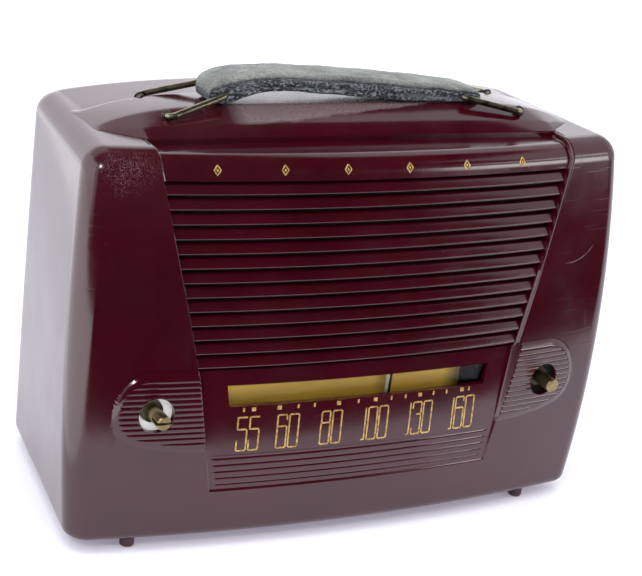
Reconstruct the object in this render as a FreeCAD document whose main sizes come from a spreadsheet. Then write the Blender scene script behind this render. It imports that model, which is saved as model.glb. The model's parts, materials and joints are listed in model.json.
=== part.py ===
import FreeCAD, Part
import math
import os

from FreeCAD import Placement, Rotation, Vector

os.makedirs("parts", exist_ok=True)
doc = FreeCAD.newDocument("portable_radio")

# ---------------------------------------------------------------- driving dimensions
# Millimetres and degrees.  +Z is up, the front faces -Y, and the origin is on the table
# under the middle of the set.
SIZES = {
    "case_bottom": 5.4, "case_top": 174.0, "front_y": -63.2, "rear_y": 66.8, "rear_lean": 16.5,
    "wall": 3.0, "bow_radius": 813.0, "front_tilt": -0.04035, "front_belly": 0.000634,
    "mid_half_width": 135.3, "mid_height": 98.0, "side_barrel": 0.000693,
    "rear_half_bottom": 110.5, "rear_half_top": 121.0, "front_corner": 9.7, "rear_corner": 14.0,
    "top_round": 9.0, "bottom_round": 4.0,
    "recess_deep": 2.4, "recess_half_top": 101.0, "recess_half_low": 80.0, "recess_wall_y": -28.6,
    "ledge_z": 81.9, "band_z": 162.3, "band_half": 98.6,
    "louvre_count": 13, "louvre_top_z": 157.1, "louvre_pitch": 6.12, "louvre_deep": 4.8,
    "louvre_back": 2.8, "louvre_rise": 4.9, "louvre_thick": 3.0,
    "window_half_top": 66.1, "window_half_low": 64.2, "window_top": 74.7, "window_low": 65.2,
    "panel_low": 27.0, "panel_half_low": 70.0, "panel_deep": 1.2,
    "ear_proud": 1.6, "ear_high": 40.0, "ear_inner": 78.0, "ear_outer": 117.0,
    "knob_half_span": 97.5, "knob_z": 64.3, "knob_hole_r": 7.6,
    "ridge_top": 183.2, "ridge_drop": 10.6, "ridge_tip": 121.0, "ridge_power": 5.7,
    "ridge_front": -11.7, "ridge_back": 7.8, "ridge_foot": 13.8, "rear_crown": 5.0,
    "foot_r": 3.2, "foot_x": 100.4, "foot_front_y": -49.7, "foot_rear_y": 46.0, "foot_rear_x": 94.0,
    "door_half": 92.0, "door_low": 12.0, "door_high": 152.0, "door_thick": 3.4, "door_gap": 0.6,
    "door_corner": 8.0, "hinge_pin_r": 1.0, "hinge_pin_long": 12.0, "fit_gap": 0.05,
    "shaft_r": 3.175, "shaft_neck_r": 2.9, "volume_seat": 7.5, "tuning_seat": 9.5,
    "shaft_tip_y": -66.8, "slot_wide": 1.2, "slot_deep": 6.0, "bushing_r": 4.75,
    "bracket_y": -49.2, "sheet_metal": 1.2, "chassis_top": 30.0, "chassis_deep": 20.0,
    "chassis_half": 112.0, "chassis_front_y": -39.0, "chassis_rear_y": 37.0,
    "drum_x": 57.0, "drum_z": 48.0, "drum_r": 35.65, "drum_y": -46.2, "drum_thick": 4.0,
    "pulley_r": 6.0, "idler_r": 4.5, "idler_x": 80.0, "idler_z": 76.0, "idler_y": -51.4,
    "rail_z": 79.4, "rail_y": -51.6, "rail_r": 1.0, "pointer_x": 16.0,
    "lens_y": -56.2, "lens_thick": 1.2, "backplate_y": -50.2, "backplate_left": -72.0,
    "backplate_right": 56.0,
    "speaker_x": -28.0, "speaker_z": 122.2, "speaker_r": 43.0, "baffle_y": -40.3, "baffle_thick": 3.0,
    "wire_r": 1.4, "bail_x": 88.0, "bail_z": 180.5, "bail_reach": 29.0, "bail_mid_y": -3.7,
    "bail_half_top": 11.0, "bail_half_foot": 16.9, "left_bail_angle": 15.0, "right_bail_angle": 11.0,
    "strap_half": 9.2, "strap_thick": 8.4, "strap_end_thick": 5.4,
    "shelf_z": 74.0, "battery_high": 88.0, "gland_x": 60.0, "gland_up": 15.0, "boss_x": 96.0,
}
sheet = doc.addObject("Spreadsheet::Sheet", "Sizes")
for row, (name, value) in enumerate(SIZES.items(), start=1):
    sheet.set(f"A{row}", name)
    sheet.set(f"B{row}", str(value))
    sheet.setAlias(f"B{row}", name)
doc.recompute()


def size(name):
    """The value of one named cell."""
    return float(getattr(sheet, name))


BOTTOM, TOP = size("case_bottom"), size("case_top")
FRONT, REAR, BOW = size("front_y"), size("rear_y"), size("bow_radius")
WALL, RECESS = size("wall"), size("recess_deep")
KNOB_X, KNOB_Z = size("knob_half_span"), size("knob_z")
LEAN = math.degrees(math.atan(size("rear_lean") / (TOP - BOTTOM)))
FAR = 400.0
SIDES = (("left", -1), ("right", 1))
nodes = {}


# ---------------------------------------------------------------- small builders
def keep(label, item):
    """Give a finished sub-part its name."""
    item.Label = label
    nodes[label] = item
    return item


def feature(label, shape):
    """A sub-part whose curved shape is worked out below."""
    item = doc.addObject("Part::Feature", label)
    item.Shape = shape
    return keep(label, item)


def group(label, shapes):
    return feature(label, Part.makeCompound(shapes))


def block(low, high):
    """A box between two opposite corners."""
    low, high = Vector(*low), Vector(*high)
    span = high - low
    return Part.makeBox(span.x, span.y, span.z, low)


def rod(radius, start, end):
    start, end = Vector(*start), Vector(*end)
    return Part.makeCylinder(radius, (end - start).Length, start, end - start)


def prism(points, y_start, y_end):
    """An outline in X and Z, drawn out along Y."""
    wire = Part.makePolygon([Vector(x, y_start, z) for x, z in points + points[:1]])
    return Part.Face(wire).extrude(Vector(0, y_end - y_start, 0))


def long_prism(points, half):
    """An outline in Y and Z, drawn out along X."""
    wire = Part.makePolygon([Vector(-half, y, z) for y, z in points + points[:1]])
    return Part.Face(wire).extrude(Vector(2 * half, 0, 0))


def mirrored(shape):
    return shape.mirror(Vector(0, 0, 0), Vector(1, 0, 0))


def new_body(name):
    return doc.addObject("PartDesign::Body", name)


def sketch_on(body, role, offset=0.0):
    """A sketch on one of the body's own origin planes, moved along its normal."""
    plane = next(f for f in body.Origin.OriginFeatures if f.Role == role)
    sketch = body.newObject("Sketcher::SketchObject", body.Name + "_sketch")
    sketch.AttachmentSupport = [(plane, "")]
    sketch.MapMode = "FlatFace"
    sketch.AttachmentOffset = Placement(Vector(0, 0, offset), Rotation())
    return sketch


def draw_loop(sketch, points):
    flat = [Vector(a, b, 0) for a, b in points]
    for start, end in zip(flat, flat[1:] + flat[:1]):
        sketch.addGeometry(Part.LineSegment(start, end))


def draw_circle(sketch, middle, radius):
    sketch.addGeometry(Part.Circle(Vector(middle[0], middle[1], 0), Vector(0, 0, 1), radius))


def rectangle(left, low, right, high):
    return [(left, low), (right, low), (right, high), (left, high)]


def pad(body, sketch, length, reverse=False):
    """Pad a sketch by a sheet cell, given by name, or by an expression of cells."""
    item = body.newObject("PartDesign::Pad", body.Name + "_pad")
    item.Profile = sketch
    item.setExpression("Length", length)
    item.Reversed = reverse
    sketch.Visibility = False
    return item


def plate(label, loops, circles, y_start, thick):
    """A flat piece that faces the front: outline and holes in X and Z, thickness along +Y."""
    body = new_body(label)
    sketch = sketch_on(body, "XZ_Plane", -y_start)
    for loop in loops:
        draw_loop(sketch, loop)
    for middle, radius in circles:
        draw_circle(sketch, middle, radius)
    pad(body, sketch, thick, reverse=True)
    return keep(label, body)


def upright(label, loops, circles, z_start, height):
    """A piece that stands up: outline in X and Y, height along +Z."""
    body = new_body(label)
    sketch = sketch_on(body, "XY_Plane", z_start)
    for loop in loops:
        draw_loop(sketch, loop)
    for middle, radius in circles:
        draw_circle(sketch, middle, radius)
    pad(body, sketch, height)
    return keep(label, body)


def turned(label, profile, x, z):
    """A piece turned about a front-to-back axis; the profile is (y, radius) points."""
    body = new_body(label)
    sketch = sketch_on(body, "YZ_Plane")
    draw_loop(sketch, profile)
    item = body.newObject("PartDesign::Revolution", label + "_turn")
    item.Profile = sketch
    item.ReferenceAxis = (sketch, ["H_Axis"])
    item.Angle = 360
    sketch.Visibility = False
    body.Placement = Placement(Vector(x, 0, z), Rotation())
    return keep(label, body)


# ---------------------------------------------------------------- the case's outer form
def front_at(z, x=0.0):
    """Y of the bowed, bellied front face."""
    rise = z - BOTTOM
    return FRONT + size("front_tilt") * rise + size("front_belly") * rise * rise + x * x / (2 * BOW)


def rear_at(z):
    return REAR - size("rear_lean") * (z - BOTTOM) / (TOP - BOTTOM)


def half_width(z):
    return size("mid_half_width") - size("side_barrel") * (z - size("mid_height")) ** 2


def outline(z, inset):
    """Plan of the case at one height: bowed front, tapering ends, straight rear, round corners."""
    front = front_at(z)
    width = half_width(z)
    part_up = (z - BOTTOM) / (TOP - BOTTOM)
    rear_width = size("rear_half_bottom") + (size("rear_half_top") - size("rear_half_bottom")) * part_up
    rear = rear_at(z)
    bow_middle = Vector(0, front + BOW, 0)
    start = Vector(width, front + width * width / (2 * BOW), 0)
    along = (Vector(rear_width, rear, 0) - start).normalize()
    inward = Vector(-along.y, along.x, 0)
    front_r, rear_r = size("front_corner"), size("rear_corner")
    base = start + inward * front_r
    offset = base - bow_middle
    middle_term = offset.dot(along)
    step = -middle_term - math.sqrt(middle_term ** 2 - offset.dot(offset) + (BOW - front_r) ** 2)
    front_middle = base + along * step
    rear_base = start + inward * rear_r
    rear_middle = rear_base + along * ((rear - rear_r - rear_base.y) / along.y)
    ray = (front_middle - bow_middle).normalize()
    bow_end = bow_middle + ray * (BOW - inset)
    front_bend = front_middle + (ray - inward).normalize() * (front_r - inset)
    side_start = front_middle - inward * (front_r - inset)
    side_end = rear_middle - inward * (rear_r - inset)
    rear_bend = rear_middle + (Vector(0, 1, 0) - inward).normalize() * (rear_r - inset)
    rear_end = Vector(rear_middle.x, rear - inset, 0)

    def at(point, side):
        return Vector(side * point.x, point.y, z)

    edges = [Part.Arc(at(bow_end, -1), Vector(0, front + inset, z), at(bow_end, 1)).toShape()]
    edges.append(Part.Arc(at(bow_end, 1), at(front_bend, 1), at(side_start, 1)).toShape())
    edges.append(Part.LineSegment(at(side_start, 1), at(side_end, 1)).toShape())
    edges.append(Part.Arc(at(side_end, 1), at(rear_bend, 1), at(rear_end, 1)).toShape())
    edges.append(Part.LineSegment(at(rear_end, 1), at(rear_end, -1)).toShape())
    edges.append(Part.Arc(at(rear_end, -1), at(rear_bend, -1), at(side_end, -1)).toShape())
    edges.append(Part.LineSegment(at(side_end, -1), at(side_start, -1)).toShape())
    edges.append(Part.Arc(at(side_start, -1), at(front_bend, -1), at(bow_end, -1)).toShape())
    return Part.Wire(edges)


def case_form(inset, low, high):
    """The solid inside the case's surface, moved in by inset, between two heights."""
    steps = 6
    heights = [low + (high - low) * i / steps for i in range(steps + 1)]
    return Part.makeLoft([outline(z, inset) for z in heights], True, False)


def round_top(form, high, radius):
    """Round the upper rim of a case form."""
    rims = [e for e in form.Edges if abs(e.BoundBox.ZMin - high) < 0.01]
    return form.makeFillet(radius, rims)


def rounded_form():
    form = round_top(case_form(0.0, BOTTOM, TOP), TOP, size("top_round"))
    rims = [e for e in form.Edges if e.BoundBox.ZMax < BOTTOM + 0.01]
    return form.makeFillet(size("bottom_round"), rims)


def inner_form(inset, low):
    """The case form moved in by inset, with its upper rim rounded to match the outside."""
    return round_top(case_form(inset, low, TOP - inset), TOP - inset, size("top_round") - inset)


def crest_at(x):
    return size("ridge_top") - size("ridge_drop") * (abs(x) / size("ridge_tip")) ** size("ridge_power")


def ridge_form():
    """The handle ridge along the top, faceted in front, with the raised rear top behind it."""
    names = ("recess_wall_y", "ridge_front", "ridge_back", "ridge_foot")
    wall_y, front, back, foot = (size(name) for name in names)
    wall_y += 0.3
    low, top = TOP - WALL, size("ridge_top")
    facet_y, facet_z = wall_y + 6.4, TOP + 0.45 * (top - TOP)
    side_view = [(wall_y, low), (wall_y, TOP), (facet_y, facet_z), (front, top + 0.2),
                 (back, top + 0.2), (foot, TOP), (foot, low)]
    body = long_prism(side_view, size("ridge_tip") + 4)
    tip = size("ridge_tip") + 2
    spots = [tip * i / 12 for i in range(-12, 13)]
    crest = Part.BSplineCurve()
    crest.interpolate([Vector(x, -FAR, crest_at(x)) for x in spots])
    ends = [Vector(tip, -FAR, low - 1), Vector(-tip, -FAR, low - 1)]
    crest_ends = [Vector(tip, -FAR, crest_at(tip)), Vector(-tip, -FAR, crest_at(tip))]
    sides = Part.makePolygon(crest_ends[:1] + ends + crest_ends[1:])
    dome = Part.Face(Part.Wire([crest.toShape()] + sides.Edges)).extrude(Vector(0, 2 * FAR, 0))
    body = body.common(dome)
    corner = [Vector(size("recess_half_top"), wall_y - 1, 0), Vector(tip + 9, wall_y - 1, 0),
              Vector(tip + 9, front + 5, 0), Vector(size("ridge_tip"), front, 0)]
    trim = Part.Face(Part.makePolygon(corner + corner[:1])).extrude(Vector(0, 0, FAR))
    body = body.cut(trim).cut(mirrored(trim))
    crown_top, crown_rear, crown_half = TOP + size("rear_crown"), rear_at(TOP) - 9, 100.0
    crown_side = [(foot - 1, low), (foot - 1, crown_top), (crown_rear - 7, crown_top),
                  (crown_rear, TOP), (crown_rear, low)]
    crown = long_prism(crown_side, crown_half)
    slope = [(-crown_half, TOP), (-60.0, crown_top), (60.0, crown_top), (crown_half, TOP),
             (crown_half, low), (-crown_half, low)]
    return body.fuse(crown.common(prism(slope, -FAR, FAR)))


def recess_points(low_z, grow=0.0):
    """The tapering recess that holds the louvres, widening up to the top band."""
    low_half, high_half = size("recess_half_low") + grow, size("recess_half_top") + grow
    return [(-low_half, low_z), (low_half, low_z), (high_half, TOP - 8), (high_half, FAR),
            (-high_half, FAR), (-high_half, TOP - 8)]


def louvre_points(grow=0.0):
    low, high = size("ledge_z") - 1.0 - grow, size("band_z") + grow
    low_half, high_half = size("recess_half_low") - 1.5 + grow, size("band_half") - 1.5 + grow
    return [(-low_half, low), (low_half, low), (high_half, high), (-high_half, high)]


def louvre_bars():
    """Slats that follow the bow of the front, each a sloping section swung about the bow's axis."""
    rise, thick, deep = size("louvre_rise"), size("louvre_thick"), size("louvre_deep")
    bars = []
    for i in range(int(size("louvre_count"))):
        nose = size("louvre_top_z") - i * size("louvre_pitch")
        face = front_at(nose) + RECESS - 0.4
        corners = [(face, nose), (face + size("louvre_back"), nose + rise), (face + deep, nose + rise),
                   (face + deep, nose + rise - thick), (face + 0.4, nose - 0.9)]
        wire = Part.makePolygon([Vector(0, y, z) for y, z in corners + corners[:1]])
        axis = Vector(0, front_at(nose) + BOW, 0)
        section = Part.Face(wire)
        section.rotate(axis, Vector(0, 0, 1), -8.0)
        bars.append(section.revolve(axis, Vector(0, 0, 1), 16.0))
    zone = prism(louvre_points(1.2), FRONT - 5, FRONT + 60)
    return [bar.common(zone) for bar in bars]


def ear_form(side):
    """The raised pad round one control shaft: a round outer end and a square inner end."""
    half = size("ear_high") / 2
    low, high = KNOB_Z - half, KNOB_Z + half
    inner, outer = size("ear_inner"), size("ear_outer")
    bar = block((inner, -FAR, low), (outer - half, FAR, high))
    end = rod(half, (outer - half, -FAR, KNOB_Z), (outer - half, FAR, KNOB_Z))
    shape = bar.fuse(end)
    return shape if side > 0 else mirrored(shape)


def on_rear(low, high):
    """A box given in the leaning rear face by two corners: X, distance up the face, distance out of it."""
    (x0, up0, out0), (x1, up1, out1) = low, high
    shape = block((x0, out0, up0), (x1, out1, up1))
    return lean_back(shape)


def lean_back(shape):
    """Stand a shape, drawn upright at the origin, on the leaning rear face."""
    leaning = Placement(Vector(0, REAR, BOTTOM), Rotation(Vector(1, 0, 0), LEAN))
    shape.Placement = leaning.multiply(shape.Placement)
    return shape


def door_outline(gap, out_start, out_end):
    """The round-cornered rear opening, or the door that fits it, standing on the leaning face."""
    half, high = size("door_half") - gap, size("door_high") - gap
    shape = block((-half, out_start, size("door_low") + gap), (half, out_end, high))
    upper = [e for e in shape.Edges if e.BoundBox.ZMin > high - 0.01]
    corners = [e for e in upper if e.BoundBox.XLength < 0.01]
    return shape.makeFillet(size("door_corner") - gap, corners)


HINGE_UP = size("door_low") + size("door_gap") + size("door_thick") / 2
HINGE_OUT = -0.3 - size("door_thick") / 2


# ---------------------------------------------------------------- case
# ---------------------------------------------------------------- case
def side_block(side, near, far, low, high):
    """A box on the rear face beside the door opening: X from the opening's edge, then (up, out) pairs."""
    x_low, x_high = sorted((side * (size("door_half") + near), side * (size("door_half") + far)))
    return on_rear((x_low, *low), (x_high, *high))


def cut_recess(shell):
    """Thicken the front behind the louvre recess, then sink the recess and the dial panel."""
    ledge, outside = size("ledge_z"), case_form(-3.0, BOTTOM - 3, TOP + 3)
    liner = inner_form(1.0, BOTTOM + 1).cut(inner_form(RECESS + WALL, BOTTOM))
    behind = prism(recess_points(ledge - 2.6, 2.0), FRONT - 5, size("recess_wall_y") + 3)
    shell = shell.fuse(liner.common(behind))
    skin = outside.cut(inner_form(RECESS, BOTTOM - 1))
    shell = shell.cut(skin.common(prism(recess_points(ledge), FRONT - 5, size("recess_wall_y"))))
    top_half, low_half, low = size("recess_half_low") - 3, size("panel_half_low"), size("panel_low")
    panel = [(-top_half, ledge + 0.1), (top_half, ledge + 0.1), (low_half, low), (-low_half, low)]
    thin = outside.cut(case_form(size("panel_deep"), BOTTOM - 1, TOP))
    return shell.cut(thin.common(prism(panel, FRONT - 5, FRONT + 30)))


def open_front(shell):
    """The control pads and their holes, the dial window and the louvred opening."""
    proud = case_form(-size("ear_proud"), BOTTOM, TOP).cut(case_form(1.0, BOTTOM - 1, TOP + 1))
    front_half = block((-FAR, -FAR, 0), (FAR, FRONT + 30, FAR))
    for _, side in SIDES:
        shell = shell.fuse(proud.common(ear_form(side)).common(front_half))
        ends = [(side * KNOB_X, FRONT + reach, KNOB_Z) for reach in (-20, 30)]
        shell = shell.cut(rod(size("knob_hole_r"), *ends))
    low_half, low = size("window_half_low"), size("window_low")
    high_half, high = size("window_half_top"), size("window_top")
    window = [(-low_half, low), (low_half, low), (high_half, high), (-high_half, high)]
    shell = shell.cut(prism(window, FRONT - 5, FRONT + 20))
    shell = shell.cut(prism(louvre_points(), FRONT - 5, FRONT + 22))
    for bar in louvre_bars():
        shell = shell.fuse(bar)
    return shell


def add_rear_fittings(shell, side):
    """Hinge pin holes and stops at one edge of the door opening."""
    for near, far, out in ((-4.0, 8.0, -4.2), (1.0, 8.0, -2.0)):
        up = size("door_high") - 18
        shell = shell.fuse(side_block(side, near, far, (up, -7.5), (up + 8, out)))
    middle = size("door_half") - size("door_gap") / 2
    reach = size("hinge_pin_long") / 2
    ends = [(side * (middle + s * reach), HINGE_OUT, HINGE_UP) for s in (-1, 1)]
    return shell.cut(lean_back(rod(size("hinge_pin_r"), *ends)))


def add_bosses(shell, side):
    """Bosses for the baffle and the chassis."""
    for x, z in ((90.0, 92.0), (102.0, 157.0)):
        boss = rod(4.0, (side * x, front_at(z, x) + 1.5, z), (side * x, size("baffle_y") - 0.5, z))
        shell = shell.fuse(boss)
    x = side * size("boss_x")
    for y in (size("chassis_front_y") + 8, size("chassis_rear_y") - 8):
        boss_top = size("chassis_top") - size("chassis_deep")
        shell = shell.fuse(rod(4.5, (x, y, BOTTOM + 1), (x, y, boss_top)))
        shell = shell.cut(rod(1.6, (x, y, BOTTOM - 1), (x, y, 12)))
    return shell


def cut_bail_holes(shell, name, side):
    """The holes that take the ends of a bail, each opening into a groove under the resting wire."""
    foot, reach = size("bail_half_foot"), 10.0
    angle = math.radians(size(f"{name}_bail_angle"))
    inward = (foot - size("bail_half_top")) * reach / size("bail_reach")
    room = size("wire_r") + 0.4
    for turn in (-1, 1):
        x, y, z = side * size("bail_x"), size("bail_mid_y") + turn * foot, size("bail_z")
        ends = [(x, y - turn * far, z) for far in (-3, 8.2)]
        shell = shell.cut(rod(size("wire_r") + size("fit_gap"), *ends))
        far_end = (x - side * reach * math.cos(angle), y - turn * inward, z + reach * math.sin(angle))
        shell = shell.cut(rod(room, (x, y, z), far_end))
        shell = shell.cut(Part.makeSphere(room + 0.6, Vector(x - side * 0.6, y - turn * 0.6, z)))
    return shell


def make_cabinet():
    shell = rounded_form().fuse(ridge_form())
    shell = shell.cut(inner_form(WALL, BOTTOM + WALL))
    shell = open_front(cut_recess(shell))
    for _, side in SIDES:
        shell = shell.fuse(side_block(side, -2, 8, (HINGE_UP - 5, -7.0), (HINGE_UP + 5, -1.5)))
    shell = shell.cut(lean_back(door_outline(0.0, -10, 10)))
    for name, side in SIDES:
        shell = add_bosses(add_rear_fittings(shell, side), side)
        shell = cut_bail_holes(shell, name, side)
    return feature("cabinet", shell)


def make_case_trim():
    spots = [(s * size("foot_x"), size("foot_front_y")) for s in (-1, 1)]
    spots += [(s * size("foot_rear_x"), size("foot_rear_y")) for s in (-1, 1)]
    feet = []
    for x, y in spots:
        foot = rod(size("foot_r"), (x, y, 0), (x, y, BOTTOM))
        feet.append(foot.makeFillet(1.2, [e for e in foot.Edges if e.BoundBox.ZMax < 0.01]))
    group("feet", feet)
    middle = size("door_half") - size("door_gap") / 2
    reach = size("hinge_pin_long") / 2 - 0.2
    pins = []
    for _, side in SIDES:
        ends = [(side * (middle + s * reach), HINGE_OUT, HINGE_UP) for s in (-1, 1)]
        pins.append(lean_back(rod(size("hinge_pin_r"), *ends)))
    group("hinge_pins", pins)


def make_door():
    """The rear door: vent slots, a finger notch, a rounded lower edge round the hinge pins."""
    thick = size("door_thick")
    shape = door_outline(size("door_gap"), -0.3 - thick, -0.3)
    half = size("door_half") - size("door_gap")
    edge = rod(thick / 2, (-half, HINGE_OUT, HINGE_UP), (half, HINGE_OUT, HINGE_UP))
    shape = shape.cut(block((-FAR, -20, -FAR), (FAR, 20, HINGE_UP))).fuse(edge)
    for column in range(-4, 5):
        for row in range(3):
            low = size("door_low") + 30 + row * 32
            shape = shape.cut(block((column * 17 - 2, -20, low), (column * 17 + 2, 20, low + 22)))
    for side in (-1, 1):
        ends = [(side * (half + reach), HINGE_OUT, HINGE_UP) for reach in (1, -6.4)]
        shape = shape.cut(rod(size("hinge_pin_r") + size("fit_gap"), *ends))
    high, inner = size("door_high"), -0.3 - thick
    shape = shape.cut(rod(11, (0, inner + thick / 2, high + 3), (0, 5, high + 3)))
    x, up = size("gland_x"), size("door_low") + size("gland_up")
    feature("rear_door", lean_back(shape.cut(rod(4.0, (x, -20, up), (x, 20, up)))))
    ring = rod(6.0, (x, inner - 1.2, up), (x, inner + thick + 1.2, up))
    groove = rod(8.0, (x, inner, up), (x, inner + thick, up))
    neck = rod(4.0, (x, inner, up), (x, inner + thick, up))
    hole = rod(2.6, (x, -15, up), (x, 15, up))
    feature("cord_grommet", lean_back(ring.cut(groove).fuse(neck).cut(hole)))
    feature("door_snap", lean_back(block((-7, inner - 1.0, high - 24), (7, inner, high - 12.4))))
    low = size("door_low")
    former = block((-74, -8.4, low + 24), (74, -5.4, high - 12.5))
    former = former.cut(block((-56, -20, low + 40), (56, 20, high - 29)))
    for x in (-65, 65):
        for up in (low + 30, high - 26):
            former = former.fuse(rod(3, (x, -5.4, up), (x, inner, up)))
    feature("loop_antenna", lean_back(former))


# ---------------------------------------------------------------- dial
def make_dial():
    plate("dial_lens", [rectangle(-69, 60.5, 69, 78.5)], [], size("lens_y"), "Sizes.lens_thick")
    card = rectangle(size("backplate_left"), 55, size("backplate_right"), 80.9)
    plate("dial_backplate", [card], [], size("backplate_y"), "0.8 mm")
    x, y, z = size("pointer_x"), size("rail_y"), size("rail_z")
    feature("pointer_rail", rod(size("rail_r"), (-75, y, z), (75, y, z)))
    slider = block((x - 4, y - 1.9, z - 1.6), (x + 4, y + 1.1, z + 1.6))
    slider = slider.cut(rod(size("rail_r") + size("fit_gap"), (x - 9, y, z), (x + 9, y, z)))
    needle = block((x - 0.9, y - 1.9, 58.5), (x + 0.9, y - 1.1, z - 1.6))
    feature("dial_pointer", slider.fuse(needle))
    for name, side in SIDES:
        y, radius = size("idler_y"), size("idler_r")
        profile = [(y, 1.05), (y, radius), (y + 0.8, radius), (y + 1.4, radius - 1), (y + 2.0, radius),
                   (y + 2.8, radius), (y + 2.8, 1.05)]
        turned(f"idler_pulley_{name}", profile, side * size("idler_x"), size("idler_z"))
    x, y, z = size("idler_x"), size("idler_y"), size("idler_z")
    group("idler_axles", [rod(1.0, (side * x, y - 1, z), (side * x, y + 4.2, z)) for side in (-1, 1)])


# ---------------------------------------------------------------- chassis and controls
def make_chassis():
    half, front, rear = size("chassis_half"), size("chassis_front_y"), size("chassis_rear_y")
    top, metal, deep = size("chassis_top"), size("sheet_metal"), size("chassis_deep")
    pan = block((-half, front, top - deep), (half, rear, top))
    pan = pan.cut(block((-FAR, front + metal, top - deep - 1), (FAR, rear - metal, top - metal)))
    low, x = top - deep, size("boss_x")
    spots = [(side * x, y) for side in (-1, 1) for y in (front + 8, rear - 8)]
    for x, y in spots:
        low_y, high_y = (front, y + 6) if y < 0 else (y - 6, rear)
        pan = pan.fuse(block((x - 7, low_y, low), (x + 7, high_y, low + metal)))
        pan = pan.cut(rod(1.7, (x, y, low - 2), (x, y, low + 4)))
    for x in TUBE_SPOTS:
        pan = pan.cut(rod(8.0, (x, TUBE_Y, top - 5), (x, TUBE_Y, top + 5)))
    feature("chassis", pan.removeSplitter())
    screws = []
    for x, y in spots:
        shank = rod(1.5, (x, y, BOTTOM + 1.4), (x, y, low + 5))
        screws.append(shank.fuse(rod(3.2, (x, y, low + metal), (x, y, low + metal + 2.4))))
    group("chassis_screws", screws)


def make_controls():
    """Two sheet-metal brackets with bushings, the volume control and the tuning shaft."""
    y, metal, top, shaft = size("bracket_y"), size("sheet_metal"), size("chassis_top"), size("shaft_r")
    bush_r = size("bushing_r")
    for name, side in SIDES:
        x_near, x_far = sorted((side * 90.0, side * 111.0))
        sheet_piece = block((x_near, y, top), (x_far, y + metal, KNOB_Z + 14))
        foot = block((x_near, y, top), (x_far, size("chassis_front_y") + 2.8, top + metal))
        hole = rod(bush_r, (side * KNOB_X, y - 5, KNOB_Z), (side * KNOB_X, y + 5, KNOB_Z))
        feature(f"control_bracket_{name}", sheet_piece.fuse(foot).cut(hole))
    neck = size("shaft_neck_r")
    bore, flange = neck + size("fit_gap"), y + metal
    bush = [(y - 5.5, bore), (y - 5.5, bush_r), (flange, bush_r), (flange, 6.5), (flange + 1.5, 6.5),
            (flange + 1.5, bore)]
    turned("volume_bushing", bush, -KNOB_X, KNOB_Z)
    turned("tuning_bushing", bush, KNOB_X, KNOB_Z)
    nuts = []
    turns = [math.radians(60 * i) for i in range(6)]
    for side in (-1, 1):
        x = side * KNOB_X
        nut = prism([(x + 7 * math.cos(a), KNOB_Z + 7 * math.sin(a)) for a in turns], y - 2.4, y)
        nuts.append(nut.cut(rod(bush_r, (x, y - 9, KNOB_Z), (x, y + 9, KNOB_Z))))
    group("bushing_nuts", nuts)
    can = [(flange + 1.5, bore), (flange + 1.5, 12), (y + 14, 12), (y + 14, 9.5), (y + 22, 9.5),
           (y + 22, 0), (y + 15, 0), (y + 15, bore)]
    turned("volume_control", can, -KNOB_X, KNOB_Z)
    tip, slot = size("shaft_tip_y"), size("slot_wide") / 2
    shape = rod(shaft, (-KNOB_X, tip, KNOB_Z), (-KNOB_X, tip + size("volume_seat"), KNOB_Z))
    shape = shape.makeChamfer(0.5, [e for e in shape.Edges if e.BoundBox.YMax < tip + 0.01])
    shape = shape.fuse(rod(neck, (-KNOB_X, tip + 2, KNOB_Z), (-KNOB_X, y + 14.5, KNOB_Z)))
    slot_end = tip + size("slot_deep")
    shape = shape.cut(block((-KNOB_X - 9, tip - 1, KNOB_Z - slot), (-KNOB_X + 9, slot_end, KNOB_Z + slot)))
    feature("volume_shaft", shape)
    pulley, start, wide = size("pulley_r"), size("drum_y"), size("drum_thick")
    seat_end = tip + size("tuning_seat")
    profile = [(tip, 0), (tip, shaft - 0.5), (tip + 0.5, shaft), (seat_end, shaft), (seat_end, neck),
               (start + 0.3, neck), (start + 0.3, pulley), (start + 1.2, pulley),
               (start + 2.0, pulley - 1), (start + 2.8, pulley), (start + wide, pulley), (start + wide, 0)]
    turned("tuning_shaft", profile, KNOB_X, KNOB_Z)


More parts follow.
